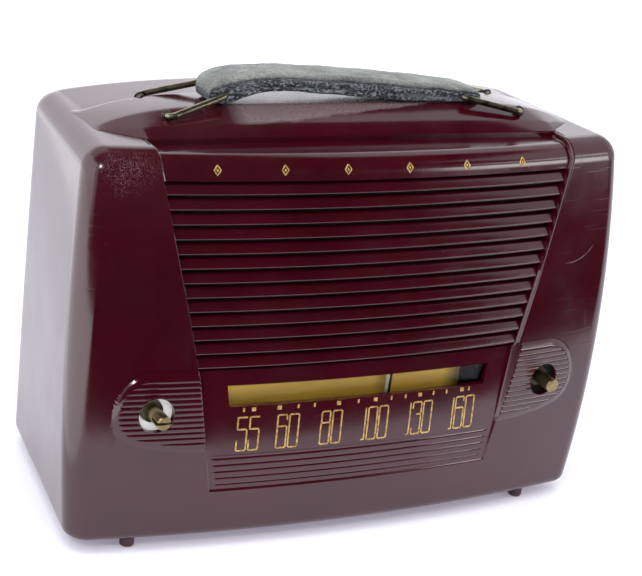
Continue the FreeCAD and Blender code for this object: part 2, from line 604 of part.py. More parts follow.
def make_gang():
    """The tuning capacitor: frame, fixed plates, and the rotor with its cord drum."""
    x, z, top, metal = size("drum_x"), size("drum_z"), size("chassis_top"), 2.0
    front, rear, half = -33.0, 9.0, 22.0
    frame = block((x - half, front, top), (x + half, rear, top + metal))
    for y in (front, rear - metal):
        frame = frame.fuse(block((x - half, y, top), (x + half, y + metal, top + 40)))
    frame = frame.cut(rod(3.05, (x, front - 5, z), (x, rear + 5, z)))
    feature("gang_frame", frame)
    plates, pitch, blade = 9, 4.0, 1.0
    shaft = rod(3.0, (x, size("drum_y") + 0.5, z), (x, rear + 3, z))
    for i in range(plates):
        y = front + 4.2 + i * pitch
        shaft = shaft.fuse(Part.makeCylinder(15.5, blade, Vector(x, y, z), Vector(0, 1, 0), 180))
    feature("gang_rotor", shaft)
    stator = []
    for i in range(plates - 1):
        y = front + 4.2 + blade + 1.0 + i * pitch
        fixed = Part.makeCylinder(18.0, blade, Vector(x, y, z), Vector(0, 1, 0))
        fixed = fixed.cut(Part.makeCylinder(4.6, FAR, Vector(x, y - 9, z), Vector(0, 1, 0)))
        fixed = fixed.cut(block((x - 30, y - 9, z - 30), (x - 1, y + 9, z + 30)))
        stator.append(fixed.cut(block((x - 30, y - 9, z - 30), (x + 30, y + 9, top + metal + 0.4))))
    tie_z = z + 3.0
    tie = rod(1.2, (x + 17.2, front + metal, tie_z), (x + 17.2, rear - metal, tie_z))
    for fixed in stator:
        tie = tie.fuse(fixed)
    feature("gang_stator", tie)
    drum_y, wide, radius = size("drum_y"), size("drum_thick"), size("drum_r")
    drum = rod(radius, (x, drum_y, z), (x, drum_y + wide, z))
    groove = Part.makeTorus(radius, 1.0, Vector(x, drum_y + wide / 2, z), Vector(0, 1, 0))
    drum = drum.cut(groove).cut(rod(radius - 4, (x, drum_y + 1.2, z), (x, drum_y + wide + 1, z)))
    drum = drum.fuse(rod(6, (x, drum_y, z), (x, drum_y + wide, z)))
    drum = drum.cut(rod(3.0, (x, drum_y + 0.5, z), (x, drum_y + 9, z)))
    for angle in range(0, 360, 60):
        spot = (x + 20 * math.cos(math.radians(angle)), z + 20 * math.sin(math.radians(angle)))
        drum = drum.cut(rod(7, (spot[0], drum_y - 5, spot[1]), (spot[0], drum_y + 9, spot[1])))
    feature("dial_drum", drum)


# ---------------------------------------------------------------- loudspeaker
def make_speaker():
    x, z, radius = size("speaker_x"), size("speaker_z"), size("speaker_r")
    y = size("baffle_y")
    outline_loop = [(-94, 78.9), (16, 78.9), (16, 85), (94, 85), (107, 162.6), (-107, 162.6)]
    plate("baffle_board", [outline_loop], [((x, z), radius - 4)], y, "Sizes.baffle_thick")
    feature("grille_cloth", prism(outline_loop, y - 0.5, y))
    back = y + size("baffle_thick")
    rim = [(back, radius - 5), (back, radius), (back + 1.2, radius), (back + 1.2, radius - 4),
           (back + 24, 17), (back + 24, 7), (back + 22.6, 7), (back + 22.6, 16), (back + 2, radius - 5)]
    turned("speaker_frame", rim, x, z)
    cone = [(back + 0.2, radius - 5.6), (back + 0.8, radius - 5.6), (back + 21, 7.5),
            (back + 21, 0), (back + 20, 0), (back + 20, 6.9)]
    turned("speaker_cone", cone, x, z)
    magnet = [(back + 24, 0), (back + 24, 19), (back + 40, 19), (back + 40, 0)]
    turned("speaker_magnet", magnet, x, z)
    screws = []
    ring = radius - 2.2
    for angle in (45, 135, 225, 315):
        across, up = ring * math.cos(math.radians(angle)), ring * math.sin(math.radians(angle))
        screws.append(rod(1.8, (x + across, back + 1.2, z + up), (x + across, back + 3.2, z + up)))
    group("speaker_nuts", screws)


# ---------------------------------------------------------------- tubes, cans and batteries
TUBE_SPOTS = (-98.0, -74.0, -50.0, -26.0)
TUBE_Y = 20.0
TUBE_NAMES = ("output_tube", "detector_tube", "amplifier_tube", "converter_tube")


def make_tubes():
    top = size("chassis_top")
    sockets = []
    for x, name in zip(TUBE_SPOTS, TUBE_NAMES):
        plug = rod(7.9, (x, TUBE_Y, top - 4), (x, TUBE_Y, top))
        sockets.append(plug.fuse(rod(11, (x, TUBE_Y, top), (x, TUBE_Y, top + 3))))
        bulb = rod(9.2, (x, TUBE_Y, top + 3), (x, TUBE_Y, top + 46))
        bulb = bulb.makeFillet(6.0, [e for e in bulb.Edges if e.BoundBox.ZMin > top + 45])
        nib = Part.makeCone(2.4, 0.8, 6, Vector(x, TUBE_Y, top + 45.5))
        feature(name, bulb.fuse(nib))
    group("tube_sockets", sockets)


def make_components():
    top = size("chassis_top")
    for name, x in (("first_if_can", -74.0), ("second_if_can", -44.0)):
        upright(name, [rectangle(x - 10, -22, x + 10, -2)], [], top, "44 mm")
    upright("filter_capacitor", [], [((2, 22), 11.0)], top, "56 mm")
    core = block((-22, -30, top), (10, -12, top + 28))
    core = core.fuse(block((-17, -34, top + 4), (5, -8, top + 24)))
    feature("output_transformer", core)
    fins = [block((14, 24 + 4 * i, top + 2), (34, 25 + 4 * i, top + 22)) for i in range(4)]
    stack = rod(3, (24, 20, top + 12), (24, 40, top + 12))
    for fin in fins:
        stack = stack.fuse(fin)
    stack = stack.fuse(block((20, 18, top), (28, 20, top + 15)))
    stack = stack.cut(block((-FAR, size("chassis_rear_y"), -FAR), (FAR, FAR, FAR)))
    feature("selenium_rectifier", stack)


def make_batteries():
    """A sheet-metal shelf over the tuning capacitor that carries the two dry batteries."""
    shelf, top, metal = size("shelf_z"), size("chassis_top"), size("sheet_metal")
    stand = block((34, -36, shelf), (110, 37, shelf + metal))
    for y in (-36, 37 - metal):
        stand = stand.fuse(block((104, y, top), (110, y + metal, shelf)))
        stand = stand.fuse(block((34, y, shelf), (110, y + metal, shelf + 8)))
    stand = stand.fuse(block((86, 37 - metal, top), (110, 37, shelf)))
    stand = stand.fuse(block((36, 37 - metal, top), (46, 37, shelf)))
    feature("battery_shelf", stand.removeSplitter())
    floor = shelf + metal
    upright("low_tension_battery", [rectangle(36, -34.2, 108, 0)], [], floor, "Sizes.battery_high")
    upright("high_tension_battery", [rectangle(36, 1, 108, 34)], [], floor, "Sizes.battery_high")


# ---------------------------------------------------------------- handle
def bail_path():
    """Centre line of one wire bail, pointing along +X from a pivot line on the Y axis."""
    foot, end, reach, into = size("bail_half_foot"), size("bail_half_top"), size("bail_reach"), 5.5
    corners = [(0, -foot + into), (0, -foot), (reach, -end), (reach, end), (0, foot), (0, foot - into)]
    points = [Vector(x, y, 0) for x, y in corners]
    bend = 2.6
    edges, start = [], points[0]
    for before, here, after in zip(points, points[1:], points[2:]):
        to_before, to_after = (before - here).normalize(), (after - here).normalize()
        half_turn = to_before.getAngle(to_after) / 2
        back_off = bend / math.tan(half_turn)
        enter, leave = here + to_before * back_off, here + to_after * back_off
        inner = (to_before + to_after).normalize()
        top = here + inner * (bend / math.sin(half_turn) - bend)
        edges.append(Part.LineSegment(start, enter).toShape())
        edges.append(Part.Arc(enter, top, leave).toShape())
        start = leave
    edges.append(Part.LineSegment(start, points[-1]).toShape())
    return Part.Wire(edges)


def make_bails():
    path = bail_path()
    start = path.Edges[0].Vertexes[0].Point
    circle = Part.Wire([Part.makeCircle(size("wire_r"), start, Vector(0, 1, 0))])
    wire = path.makePipeShell([circle], True, False)
    for name, side in SIDES:
        angle = size(f"{name}_bail_angle")
        turn = Rotation(Vector(0, 1, 0), -angle) if side < 0 else Rotation(Vector(0, 1, 0), 180 + angle)
        item = feature(f"bail_{name}", wire)
        item.Placement = Placement(Vector(side * size("bail_x"), size("bail_mid_y"), size("bail_z")), turn)


def crossbar(name, side, extra=0.0):
    """X and Z of a bail's cross bar at rest, or with the bail raised by some degrees."""
    angle = math.radians(size(f"{name}_bail_angle") + extra)
    reach = size("bail_reach")
    return side * (size("bail_x") - reach * math.cos(angle)), size("bail_z") + reach * math.sin(angle)


def make_strap():
    """The leather strap: a padded, arched band with a loop at each end round a cross bar."""
    left_x, left_z = crossbar("left", -1)
    right_x, right_z = crossbar("right", 1)
    full, end = size("strap_thick"), size("strap_end_thick")
    hood = 7.0
    # Places along the strap: X, middle height, thickness.
    shape = [(left_x - hood, left_z - 0.3, 0.8 * end), (left_x, left_z + 0.4, end),
             (-44, 193.4, 0.96 * full), (-20, 193.6, full), (4, 192.2, full), (28, 190.4, 0.96 * full),
             (right_x - 14, right_z + 2.3, 1.3 * end), (right_x, right_z + 0.5, end),
             (right_x + hood, right_z - 0.2, 0.8 * end)]
    upper = [Vector(x, 0, z + thick / 2) for x, z, thick in shape]
    lower = [Vector(x, 0, z - thick / 2) for x, z, thick in shape]
    top_curve, low_curve = Part.BSplineCurve(), Part.BSplineCurve()
    top_curve.interpolate(upper)
    low_curve.interpolate(lower)
    close_right = Part.LineSegment(upper[-1], lower[-1]).toShape()
    close_left = Part.LineSegment(lower[0], upper[0]).toShape()
    wire = Part.Wire([top_curve.toShape(), close_right, low_curve.toShape(), close_left])
    half = size("strap_half")
    face = Part.Face(wire)
    face.translate(Vector(0, size("bail_mid_y") - half, 0))
    band = face.extrude(Vector(0, 2 * half, 0))
    room = size("wire_r") + 0.3
    for x, z, side in ((left_x, left_z, -1), (right_x, right_z, 1)):
        slide = 2.9
        for step in (0.0, slide):
            band = band.cut(rod(room, (x + side * step, -30, z), (x + side * step, 30, z)))
        near, far = sorted((x, x + side * slide))
        band = band.cut(block((near, -30, z - room), (far, 30, z + room)))
    feature("handle_strap", band)


make_cabinet()
make_case_trim()
make_door()
make_dial()
make_chassis()
make_controls()
make_gang()
make_speaker()
make_tubes()
make_components()
make_batteries()
make_bails()
make_strap()
doc.recompute()

for item in doc.Objects:
    bad = [s for s in item.State if s in ("Invalid", "Error")]
    if bad:
        raise RuntimeError(f"{item.Label} is {bad}")
for label, item in nodes.items():
    if item.Shape.isNull() or not item.Shape.isValid():
        raise RuntimeError(f"{label} has no valid shape")
for label, item in nodes.items():
    item.Shape.exportStep(f"parts/{label}.step")
    box = item.Shape.BoundBox
    print(f"{label:22s} {len(item.Shape.Solids):2d} solids {item.Shape.Volume:10.0f} mm3")
    print(f"    {box}")
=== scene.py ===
import json
import math

import bmesh
import bpy
import numpy as np
from mathutils import Matrix, Vector


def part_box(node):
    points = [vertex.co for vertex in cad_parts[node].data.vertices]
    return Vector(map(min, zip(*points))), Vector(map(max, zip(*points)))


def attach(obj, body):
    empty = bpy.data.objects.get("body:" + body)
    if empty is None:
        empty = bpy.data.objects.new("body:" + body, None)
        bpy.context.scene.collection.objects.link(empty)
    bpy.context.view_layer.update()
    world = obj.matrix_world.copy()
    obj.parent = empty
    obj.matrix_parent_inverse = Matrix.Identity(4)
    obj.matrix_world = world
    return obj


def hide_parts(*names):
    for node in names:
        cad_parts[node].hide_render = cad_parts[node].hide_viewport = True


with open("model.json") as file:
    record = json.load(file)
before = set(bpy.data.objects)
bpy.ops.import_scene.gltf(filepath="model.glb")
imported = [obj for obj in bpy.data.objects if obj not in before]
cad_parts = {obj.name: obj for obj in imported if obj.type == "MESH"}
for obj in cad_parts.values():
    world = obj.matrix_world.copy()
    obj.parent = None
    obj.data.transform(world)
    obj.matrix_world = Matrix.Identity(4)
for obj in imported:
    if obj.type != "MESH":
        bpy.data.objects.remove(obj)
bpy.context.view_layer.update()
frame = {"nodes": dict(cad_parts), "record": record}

nodes = frame["nodes"]

# ---- sizes, in millimetres
BOTTOM, TOP, FRONT, REAR, LEAN = 5.4, 174.0, -63.2, 66.8, 16.5
BOW, TILT, BELLY = 813.0, -0.04035, 0.000634
HALF, HALF_Z, BARREL = 135.3, 98.0, 0.000693
REAR_LOW, REAR_HIGH = 110.5, 121.0
FRONT_R, REAR_R, TOP_R, BOTTOM_R = 9.7, 14.0, 9.0, 4.0
RECESS, WALL_Y = 2.4, -28.6
LEDGE, BAND = 81.9, 162.3
PANEL_LOW = 27.6
WINDOW_LOW, WINDOW_HIGH, WINDOW_PART = 65.2, 74.7, 0.8355
EAR_R, EAR_X, EAR_Z, EAR_PROUD = 18.6, 97.2, 64.8, 1.6
RIB_PITCH, RIB_LOW, RIBS, GROOVE = 2.5, 43.4, 15, 0.30
LINE_PITCH, LINE_LOW, LINES = 3.05, 30.0, 5
LOUVRES, LOUVRE_TOP, LOUVRE_PITCH = 13, 157.1, 6.12
RIDGE_TOP, RIDGE_DROP, RIDGE_TIP, RIDGE_POWER = 183.2, 10.6, 121.0, 5.7
RIDGE_FRONT, RIDGE_BACK, RIDGE_FOOT = -11.7, 7.8, 13.8
CROWN = 5.6


def mid(node):
    """Middle of a CAD node's box, in millimetres."""
    low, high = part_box(node)
    return (low + high) * 500.0


KNOB_X = mid("tuning_shaft").x
KNOB_Z = mid("tuning_shaft").z
KNOB_HOLE = 7.6


# ---- mesh helpers
def new_object(name, data):
    item = bpy.data.objects.new(name, data)
    bpy.context.scene.collection.objects.link(item)
    return item


def finish_piece(name, mesh, body, material, angle, stand_for=()):
    """The object for a finished mesh, riding on a CAD body."""
    item = new_object(name, mesh)
    mesh.materials.append(material)
    mesh.shade_smooth()
    mesh.set_sharp_from_angle(angle=math.radians(angle))
    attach(item, body)
    if stand_for:
        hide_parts(*stand_for)
    return item


class Shape:
    """Points and faces gathered for one piece."""

    def __init__(self):
        self.verts, self.faces = [], []

    def add(self, points, faces):
        base = len(self.verts)
        self.verts.extend([tuple(map(float, p)) for p in points])
        self.faces.extend([[base + int(i) for i in f] for f in faces])

    def grid(self, rows, closed_u=False, closed_v=False, caps=False):
        """Rows of points joined into quads; u runs along a row and v from row to row."""
        count_v, count_u = len(rows), len(rows[0])
        faces = []
        for v in range(count_v if closed_v else count_v - 1):
            for u in range(count_u if closed_u else count_u - 1):
                a, b = v * count_u + u, v * count_u + (u + 1) % count_u
                c = ((v + 1) % count_v) * count_u
                faces.append((a, b, c + (u + 1) % count_u, c + u))
        if caps:
            faces.append(list(range(count_u))[::-1])
            faces.append([(count_v - 1) * count_u + u for u in range(count_u)])
        self.add([p for row in rows for p in row], faces)

    def piece(self, name, body, material, angle, stand_for=()):
        """The gathered points, in millimetres, as a mesh object in metres."""
        mesh = bpy.data.meshes.new(name)
        mesh.from_pydata((np.array(self.verts) * 0.001).tolist(), [], self.faces)
        mesh.validate()
        mesh.update()
        return finish_piece(name, mesh, body, material, angle, stand_for)


def circle(count):
    """Cosine and sine of evenly spaced directions, once round."""
    return [(math.cos(a), math.sin(a)) for a in np.linspace(0, 2 * math.pi, count + 1)[:-1]]


def smooth_step(value):
    value = np.clip(value, 0.0, 1.0)
    return value * value * (3.0 - 2.0 * value)


# ---- the case's outer form
def front_y(z, x=0.0):
    rise = z - BOTTOM
    return FRONT + TILT * rise + BELLY * rise * rise + BOW - np.sqrt(BOW * BOW - np.square(x))


def rear_y(z):
    return REAR - LEAN * (z - BOTTOM) / (TOP - BOTTOM)


def edge_x(z):
    """Half the width between the two slanting lines that bound the louvres and the dial panel."""
    return np.interp(z, [5.0, PANEL_LOW, LEDGE, TOP - 8.0, 200.0], [66.0, 70.0, 80.0, 101.0, 101.0])


def marks(stops):
    """Column places from pairs of (end, count), each stretch evenly divided."""
    places = [0.0]
    for end, count in stops:
        places.extend(np.linspace(places[-1], end, count + 1)[1:])
    return np.array(places)


INNER = marks([(0.80, 38), (0.825, 3), (0.8315, 1), (WINDOW_PART, 1), (0.845, 2), (0.965, 9), (0.985, 2),
               (0.9915, 1), (0.9955, 1), (1.0, 1)])
OUTER = marks([(0.006, 1), (0.016, 1), (0.04, 2), (1.0, 64)])[1:]
ARC_FRONT, ARC_REAR, SIDE_FRONT, SIDE_REAR = 12, 10, 10, 24
REAR_COUNT = len(INNER) - 1 + len(OUTER) + ARC_FRONT // 2 - ARC_REAR // 2


def half_loop(z, inset=0.0):
    """The right half of the case's plan at one height, from mid front round to mid rear."""
    front = float(front_y(z))
    width = HALF - BARREL * (z - HALF_Z) ** 2
    part_up = (z - BOTTOM) / (TOP - BOTTOM)
    rear_width = REAR_LOW + (REAR_HIGH - REAR_LOW) * part_up
    rear = float(rear_y(z))
    start = np.array([width, front + width * width / (2 * BOW)])
    along = np.array([rear_width, rear]) - start
    along /= np.linalg.norm(along)
    inward = np.array([-along[1], along[0]])
    middle = np.array([0.0, front + BOW])
    base = start + inward * FRONT_R
    offset = base - middle
    term = offset @ along
    step = -term - math.sqrt(term ** 2 - offset @ offset + (BOW - FRONT_R) ** 2)
    front_mid = base + along * step
    rear_base = start + inward * REAR_R
    rear_mid = rear_base + along * ((rear - REAR_R - rear_base[1]) / along[1])
    ray = (front_mid - middle) / np.linalg.norm(front_mid - middle)
    bow_end = middle + ray * (BOW - inset)
    edge = float(edge_x(z))
    x = np.concatenate([INNER * edge, edge + OUTER * (bow_end[0] - edge)])
    y = front + BOW - np.sqrt((BOW - inset) ** 2 - x * x)
    points = [np.column_stack([x, y])]
    points.append(arc(front_mid, FRONT_R - inset, ray, -inward, ARC_FRONT))
    side_start = front_mid - inward * (FRONT_R - inset)
    side_end = rear_mid - inward * (REAR_R - inset)
    wall = side_start + along * ((WALL_Y - side_start[1]) / along[1])
    points.append(np.linspace(side_start, wall, SIDE_FRONT + 1)[1:])
    points.append(np.linspace(wall, side_end, SIDE_REAR + 1)[1:])
    points.append(arc(rear_mid, REAR_R - inset, -inward, np.array([0.0, 1.0]), ARC_REAR))
    rear_end = np.array([rear_mid[0], rear - inset])
    points.append(np.linspace(rear_end, [0.0, rear - inset], REAR_COUNT + 1)[1:])
    loop = np.vstack(points)
    return np.column_stack([loop, np.full(len(loop), z)])


def arc(centre, radius, first, last, count):
    """Points on an arc from one direction to another, without the first."""
    start, end = math.atan2(first[1], first[0]), math.atan2(last[1], last[0])
    while end < start:
        end += 2 * math.pi
    angles = np.linspace(start, end, count + 1)[1:]
    return np.column_stack([centre[0] + radius * np.cos(angles), centre[1] + radius * np.sin(angles)])


def row_heights():
    """Heights of the mesh rows, close together where there are ribs, edges and openings."""
    near = np.array([-0.5, -0.25, 0.0, 0.25, 0.5])
    rows = [LINE_LOW - 1.9, LINE_LOW - 1.2, LINE_LOW - 2.2, LINE_LOW - 2.6]
    for i in range(LINES):
        rows.extend(LINE_LOW + i * LINE_PITCH + np.append(near, [1.1, 1.9]))
    for i in range(RIBS):
        rows.extend(RIB_LOW + i * RIB_PITCH + np.append(near, [0.875, 1.25, 1.625]))
    rows.extend([WINDOW_LOW, WINDOW_LOW - 0.3, WINDOW_HIGH, WINDOW_HIGH + 0.3])
    rows.extend([79.7, 80.1, 80.5, 81.0, 81.4, 82.6, 83.0, 83.4, 83.8, 84.4])
    rows.extend([LEDGE - 0.25, LEDGE - 0.08, LEDGE, LEDGE + 0.3])
    rows.extend(np.linspace(9.4, 26.5, 10))
    rows.extend(np.linspace(85.5, 161.0, 44))
    rows.extend([161.8, BAND, BAND + 0.25, BAND + 0.7, BAND + 1.5, 164.2])
    rows = sorted(rows)
    kept = [rows[0]]
    for z in rows[1:]:
        if z - kept[-1] > 0.07:
            kept.append(z)
    return kept


def ear_distance(x, z):
    """How far a point of the front is inside the outline of the pad round a control."""
    side = np.abs(x)
    round_end = EAR_R - np.where(side < EAR_X, np.abs(z - EAR_Z), np.hypot(side - EAR_X, z - EAR_Z))
    low_edge = (z - 41.6 - 0.245 * (side - 70.0)) * 0.971
    blend = 4.0
    part = np.clip(0.5 + 0.5 * (low_edge - round_end) / blend, 0, 1)
    return low_edge * (1 - part) + round_end * part - blend * part * (1 - part)


def ribbing(z, first, pitch, count, cut, swell):
    """Depth of a run of ribs: fine grooves between them, each rib a little round from groove to groove."""
    nearest = first + np.clip(np.round((z - first) / pitch), 0, count - 1) * pitch
    phase = (z - first) / pitch
    roundness = 1.0 - np.square(2.0 * (phase - np.floor(phase)) - 1.0)
    return cut * np.exp(-np.square((z - nearest) / GROOVE)) - swell * roundness


def panel_depth(z):
    up = np.clip((z - PANEL_LOW) / (LEDGE - PANEL_LOW), 0.0, 1.0)
    return 0.45 + 2.9 * up ** 1.7


def ear_height(z):
    up = np.clip((z - 41.0) / 42.0, 0.0, 1.0)
    return EAR_PROUD * (0.30 + 0.95 * up ** 0.8)


def side_profile(outside):
    """How much of a sunken area's depth holds, by distance outside its edge."""
    return np.interp(outside, [-0.9, -0.55, -0.2, 0.05, 0.35, 0.8], [1.0, 0.97, 0.72, 0.22, 0.04, 0.0])


def front_relief(x, z):
    """Depth below the plain front of the recess, dial panel, control pads and their ribs."""
    outside = np.abs(x) - edge_x(z)
    sunk = side_profile(outside)
    recess = RECESS * sunk * np.interp(z, [LEDGE - 0.1, LEDGE], [0.0, 1.0])
    panel = panel_depth(z) * sunk
    panel = panel * np.interp(z, [PANEL_LOW - 0.35, PANEL_LOW, LEDGE - 0.1, LEDGE], [0.0, 1.0, 1.0, 0.0])
    lines = np.interp(z, [LINE_LOW - 1.6, LINE_LOW - 1.0, 43.0, 43.6], [0.0, 1.0, 1.0, 0.0])
    lines = lines * np.interp(outside, [-3.2, -2.4], [1.0, 0.0])
    panel = panel + lines * ribbing(z, LINE_LOW, LINE_PITCH, LINES, 0.15, 0.04)
    inside = ear_distance(x, z)
    bevel = np.interp(inside, [0.0, 0.3, 0.6, 2.3, 2.9], [0.0, 0.26, 0.40, 0.92, 1.0])
    ribs = np.interp(inside, [2.6, 3.1], [0.0, 1.0]) * np.interp(outside, [0.5, 0.9], [0.0, 1.0])
    ribs = ribs * np.interp(z, [41.5, 47.0], [0.35, 1.0])
    height = ear_height(z) * bevel - ribs * ribbing(z, RIB_LOW, RIB_PITCH, RIBS, 0.22, 0.06)
    return recess + panel - np.where(inside > 0, height, 0.0) * (1.0 - sunk)


def top_relief(x, y):
    """Depth below the flat top of the recess."""
    sunk = side_profile(np.abs(x) - 101.0) * (y < WALL_Y + 0.001)
    return RECESS * sunk


def raise_rear(points):
    """Arch the rear top and its rounded edge upward, highest in the middle."""
    x, y, z = points.T
    across = np.maximum(0.0, 1.0 - (np.abs(x) / 112.0) ** 3)
    lifted = points.copy()
    lifted[:, 2] += CROWN * across * smooth_step((z - 155.0) / 19.0) * smooth_step((y - 2.0) / 9.0)
    return lifted


def wrap_rows():
    """Plan loops from the bottom rim up to the flat top."""
    rows = []
    for angle in np.linspace(90, 0, 7)[:-1]:
        turn = math.radians(angle)
        rows.append(half_loop(BOTTOM + BOTTOM_R * (1 - math.sin(turn)), BOTTOM_R * (1 - math.cos(turn))))
    heights = row_heights()
    rows.extend(half_loop(z) for z in heights)
    rows.append(half_loop(TOP - TOP_R))
    for angle in np.linspace(0, 90, 13)[1:]:
        turn = math.radians(angle)
        rows.append(half_loop(TOP - TOP_R * (1 - math.sin(turn)), TOP_R * (1 - math.cos(turn))))
    return np.array(rows)


def normals_of(points):
    """Outward normals of a grid of points that closes round each row, rows first."""
    across = np.roll(points, -1, axis=1) - np.roll(points, 1, axis=1)
    normal = np.cross(across, np.gradient(points, axis=0))
    return normal / np.maximum(np.linalg.norm(normal, axis=2, keepdims=True), 1e-9)


def shell_openings(loops, front):
    """Grid points inside the louvre opening, dial window, control holes and rear door opening."""
    x, y, z = loops[..., 0], loops[..., 1], loops[..., 2]
    edge, slack = edge_x(z), 0.001
    louvre = front & (np.abs(x) - edge < -0.4) & (z > LEDGE - slack) & (z < BAND + slack)
    window = front & (np.abs(x) < WINDOW_PART * edge + slack)
    window &= (z > WINDOW_LOW - slack) & (z < WINDOW_HIGH + slack)
    hole = front & (np.hypot(np.abs(x) - KNOB_X, z - KNOB_Z) < KNOB_HOLE)
    low, high = [v * 1000.0 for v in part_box("rear_door")]
    door = (y > 30) & (np.abs(x) < high.x + 0.6) & (z > low.z - 0.6) & (z < high.z + 0.6)
    return louvre, window, hole, door & (np.abs(y - rear_y(z)) < 0.01)


def snap_holes(moved, loops, hole):
    """Bring the outermost grid points inside each control hole onto its circle."""
    near = np.zeros_like(hole)
    for step in ((1, 0), (-1, 0), (0, 1), (0, -1), (1, 1), (1, -1), (-1, 1), (-1, -1)):
        near |= np.roll(~hole, step, (0, 1))
    rim = hole & near
    x, z = loops[rim][:, 0], loops[rim][:, 2]
    grow = KNOB_HOLE / np.maximum(np.hypot(np.abs(x) - KNOB_X, z - KNOB_Z), 1e-6)
    new_x = np.sign(x) * (KNOB_X + (np.abs(x) - KNOB_X) * grow)
    new_z = KNOB_Z + (z - KNOB_Z) * grow
    moved[rim] = np.column_stack([new_x, front_y(new_z, new_x) - EAR_PROUD * 0.95, new_z])


def add_returns(mesh):
    """Weld the shell and give its openings' edges their thickness inward."""
    bm = bmesh.new()
    bm.from_mesh(mesh)
    bmesh.ops.remove_doubles(bm, verts=bm.verts, dist=0.000004)
    bmesh.ops.delete(bm, geom=[v for v in bm.verts if not v.link_faces], context="VERTS")
    rims = [e for e in bm.edges if e.is_boundary]
    for inward, test in ((Vector((0, 0.0028, 0)), lambda c: c.y < 0 and c.z < 0.080),
                         (Vector((0, 0.008, 0)), lambda c: c.y < 0 and 0.080 <= c.z < 0.165),
                         (Vector((0, -0.0026, -0.0003)), lambda c: c.y > 0)):
        chosen = [e for e in rims if test((e.verts[0].co + e.verts[1].co) / 2)]
        made = bmesh.ops.extrude_edge_only(bm, edges=chosen)["geom"]
        bmesh.ops.translate(bm, vec=inward, verts=[g for g in made if isinstance(g, bmesh.types.BMVert)])
    bmesh.ops.recalc_face_normals(bm, faces=bm.faces)
    bm.to_mesh(mesh)
    bm.free()


def make_shell(material):
    """The moulded case: one skin wrapped round the front, ends and back, with its top."""
    half = wrap_rows()
    mirror = half[:, -2:0:-1, :] * np.array([-1.0, 1.0, 1.0])
    loops = np.concatenate([half, mirror], axis=1)
    normal = normals_of(loops)
    normal[-1] = (0.0, 0.0, 1.0)
    rows, total = loops.shape[:2]
    front_count = len(INNER) + len(OUTER)
    front = np.zeros((rows, total), bool)
    front[:, :front_count + 3] = True
    front[:, total - front_count - 2:] = True
    depth = np.where(front, front_relief(loops[..., 0], loops[..., 2]), 0.0)
    moved = loops - normal * depth[..., None]
    areas = shell_openings(loops, front & (loops[..., 1] < 0))
    snap_holes(moved, loops, areas[2])
    gone = np.zeros((rows - 1, total), bool)
    for area in areas:
        beside = area & np.roll(area, -1, 1)
        gone |= beside[:-1] & beside[1:]
    shape = Shape()
    faces = []
    for i, j in np.argwhere(~gone):
        k = (j + 1) % total
        faces.append([i * total + j, i * total + k, (i + 1) * total + k, (i + 1) * total + j])
    shape.add(moved.reshape(-1, 3), faces)
    shape.faces.append(list(range(total))[::-1])
    add_top(shape, half[-1])
    mesh = bpy.data.meshes.new("cabinet_shell")
    points = raise_rear(np.asarray(shape.verts)) * 0.001
    mesh.from_pydata(points.tolist(), [], shape.faces)
    add_returns(mesh)
    return finish_piece("cabinet_shell", mesh, "case", material, 32.0, ["cabinet"])


def add_top(shape, ring):
    """The top inside its rounded rim, a patch with the same columns as the front and rear."""
    bend = len(INNER) + len(OUTER) - 1 + ARC_FRONT // 2
    corner_rear = bend + ARC_FRONT // 2 + SIDE_FRONT + SIDE_REAR + ARC_REAR // 2
    first = ring[:bend + 1]
    last = ring[corner_rear:][::-1]
    side = ring[bend:corner_rear + 1]
    steps = len(side)
    wall_row = ARC_FRONT // 2 + SIDE_FRONT
    along = (side[:, 1] - side[0, 1]) / (side[-1, 1] - side[0, 1])
    bulge = side - side[0] - (side[-1] - side[0]) * along[:, None]
    columns = []
    for i in range(bend + 1):
        a, b = first[i], last[i]
        at_wall = (WALL_Y - a[1]) / (b[1] - a[1])
        own = np.where(np.arange(steps) <= wall_row, along / along[wall_row] * at_wall,
                       at_wall + (along - along[wall_row]) / (1 - along[wall_row]) * (1 - at_wall))
        weight = smooth_step((abs(a[0]) - 103.0) / (abs(first[-1][0]) - 103.0))
        part = own * (1 - weight) + along * weight
        column = a + (b - a) * part[:, None] + bulge * weight
        if abs(a[0]) < 103.0:
            column[:, 0] = np.where(column[:, 1] < WALL_Y + 12, a[0], column[:, 0])
        columns.append(column)
    grid = np.array(columns).transpose(1, 0, 2)
    before = grid[wall_row].copy()
    before[:-1, 1] -= 0.03
    grid = np.concatenate([grid[:wall_row], before[None], grid[wall_row:]], axis=0)
    grid[wall_row + 1, :-1, 1] += 0.03
    mirror = grid[:, :0:-1, :] * np.array([-1.0, 1.0, 1.0])
    full = np.concatenate([mirror, grid], axis=1)
    full[..., 2] = TOP - top_relief(full[..., 0], full[..., 1])
    shape.grid(full)


def crest_z(x):
    return RIDGE_TOP - RIDGE_DROP * (np.abs(x) / RIDGE_TIP) ** RIDGE_POWER


def rounded_path(corners, radii):
    """A path through corners with each inner one rounded off."""
    path = [np.array(corners[0])]
    for before, here, after, radius in zip(corners, corners[1:], corners[2:], radii):
        before, here, after = map(np.array, (before, here, after))
        back = min(radius, np.linalg.norm(before - here) * 0.45, np.linalg.norm(after - here) * 0.45)
        start = here + (before - here) / max(np.linalg.norm(before - here), 1e-6) * back
        end = here + (after - here) / max(np.linalg.norm(after - here), 1e-6) * back
        for t in (0.0, 0.25, 0.5, 0.75, 1.0):
            path.append((1 - t) ** 2 * start + 2 * t * (1 - t) * here + t * t * end)
    path.append(np.array(corners[-1]))
    return path


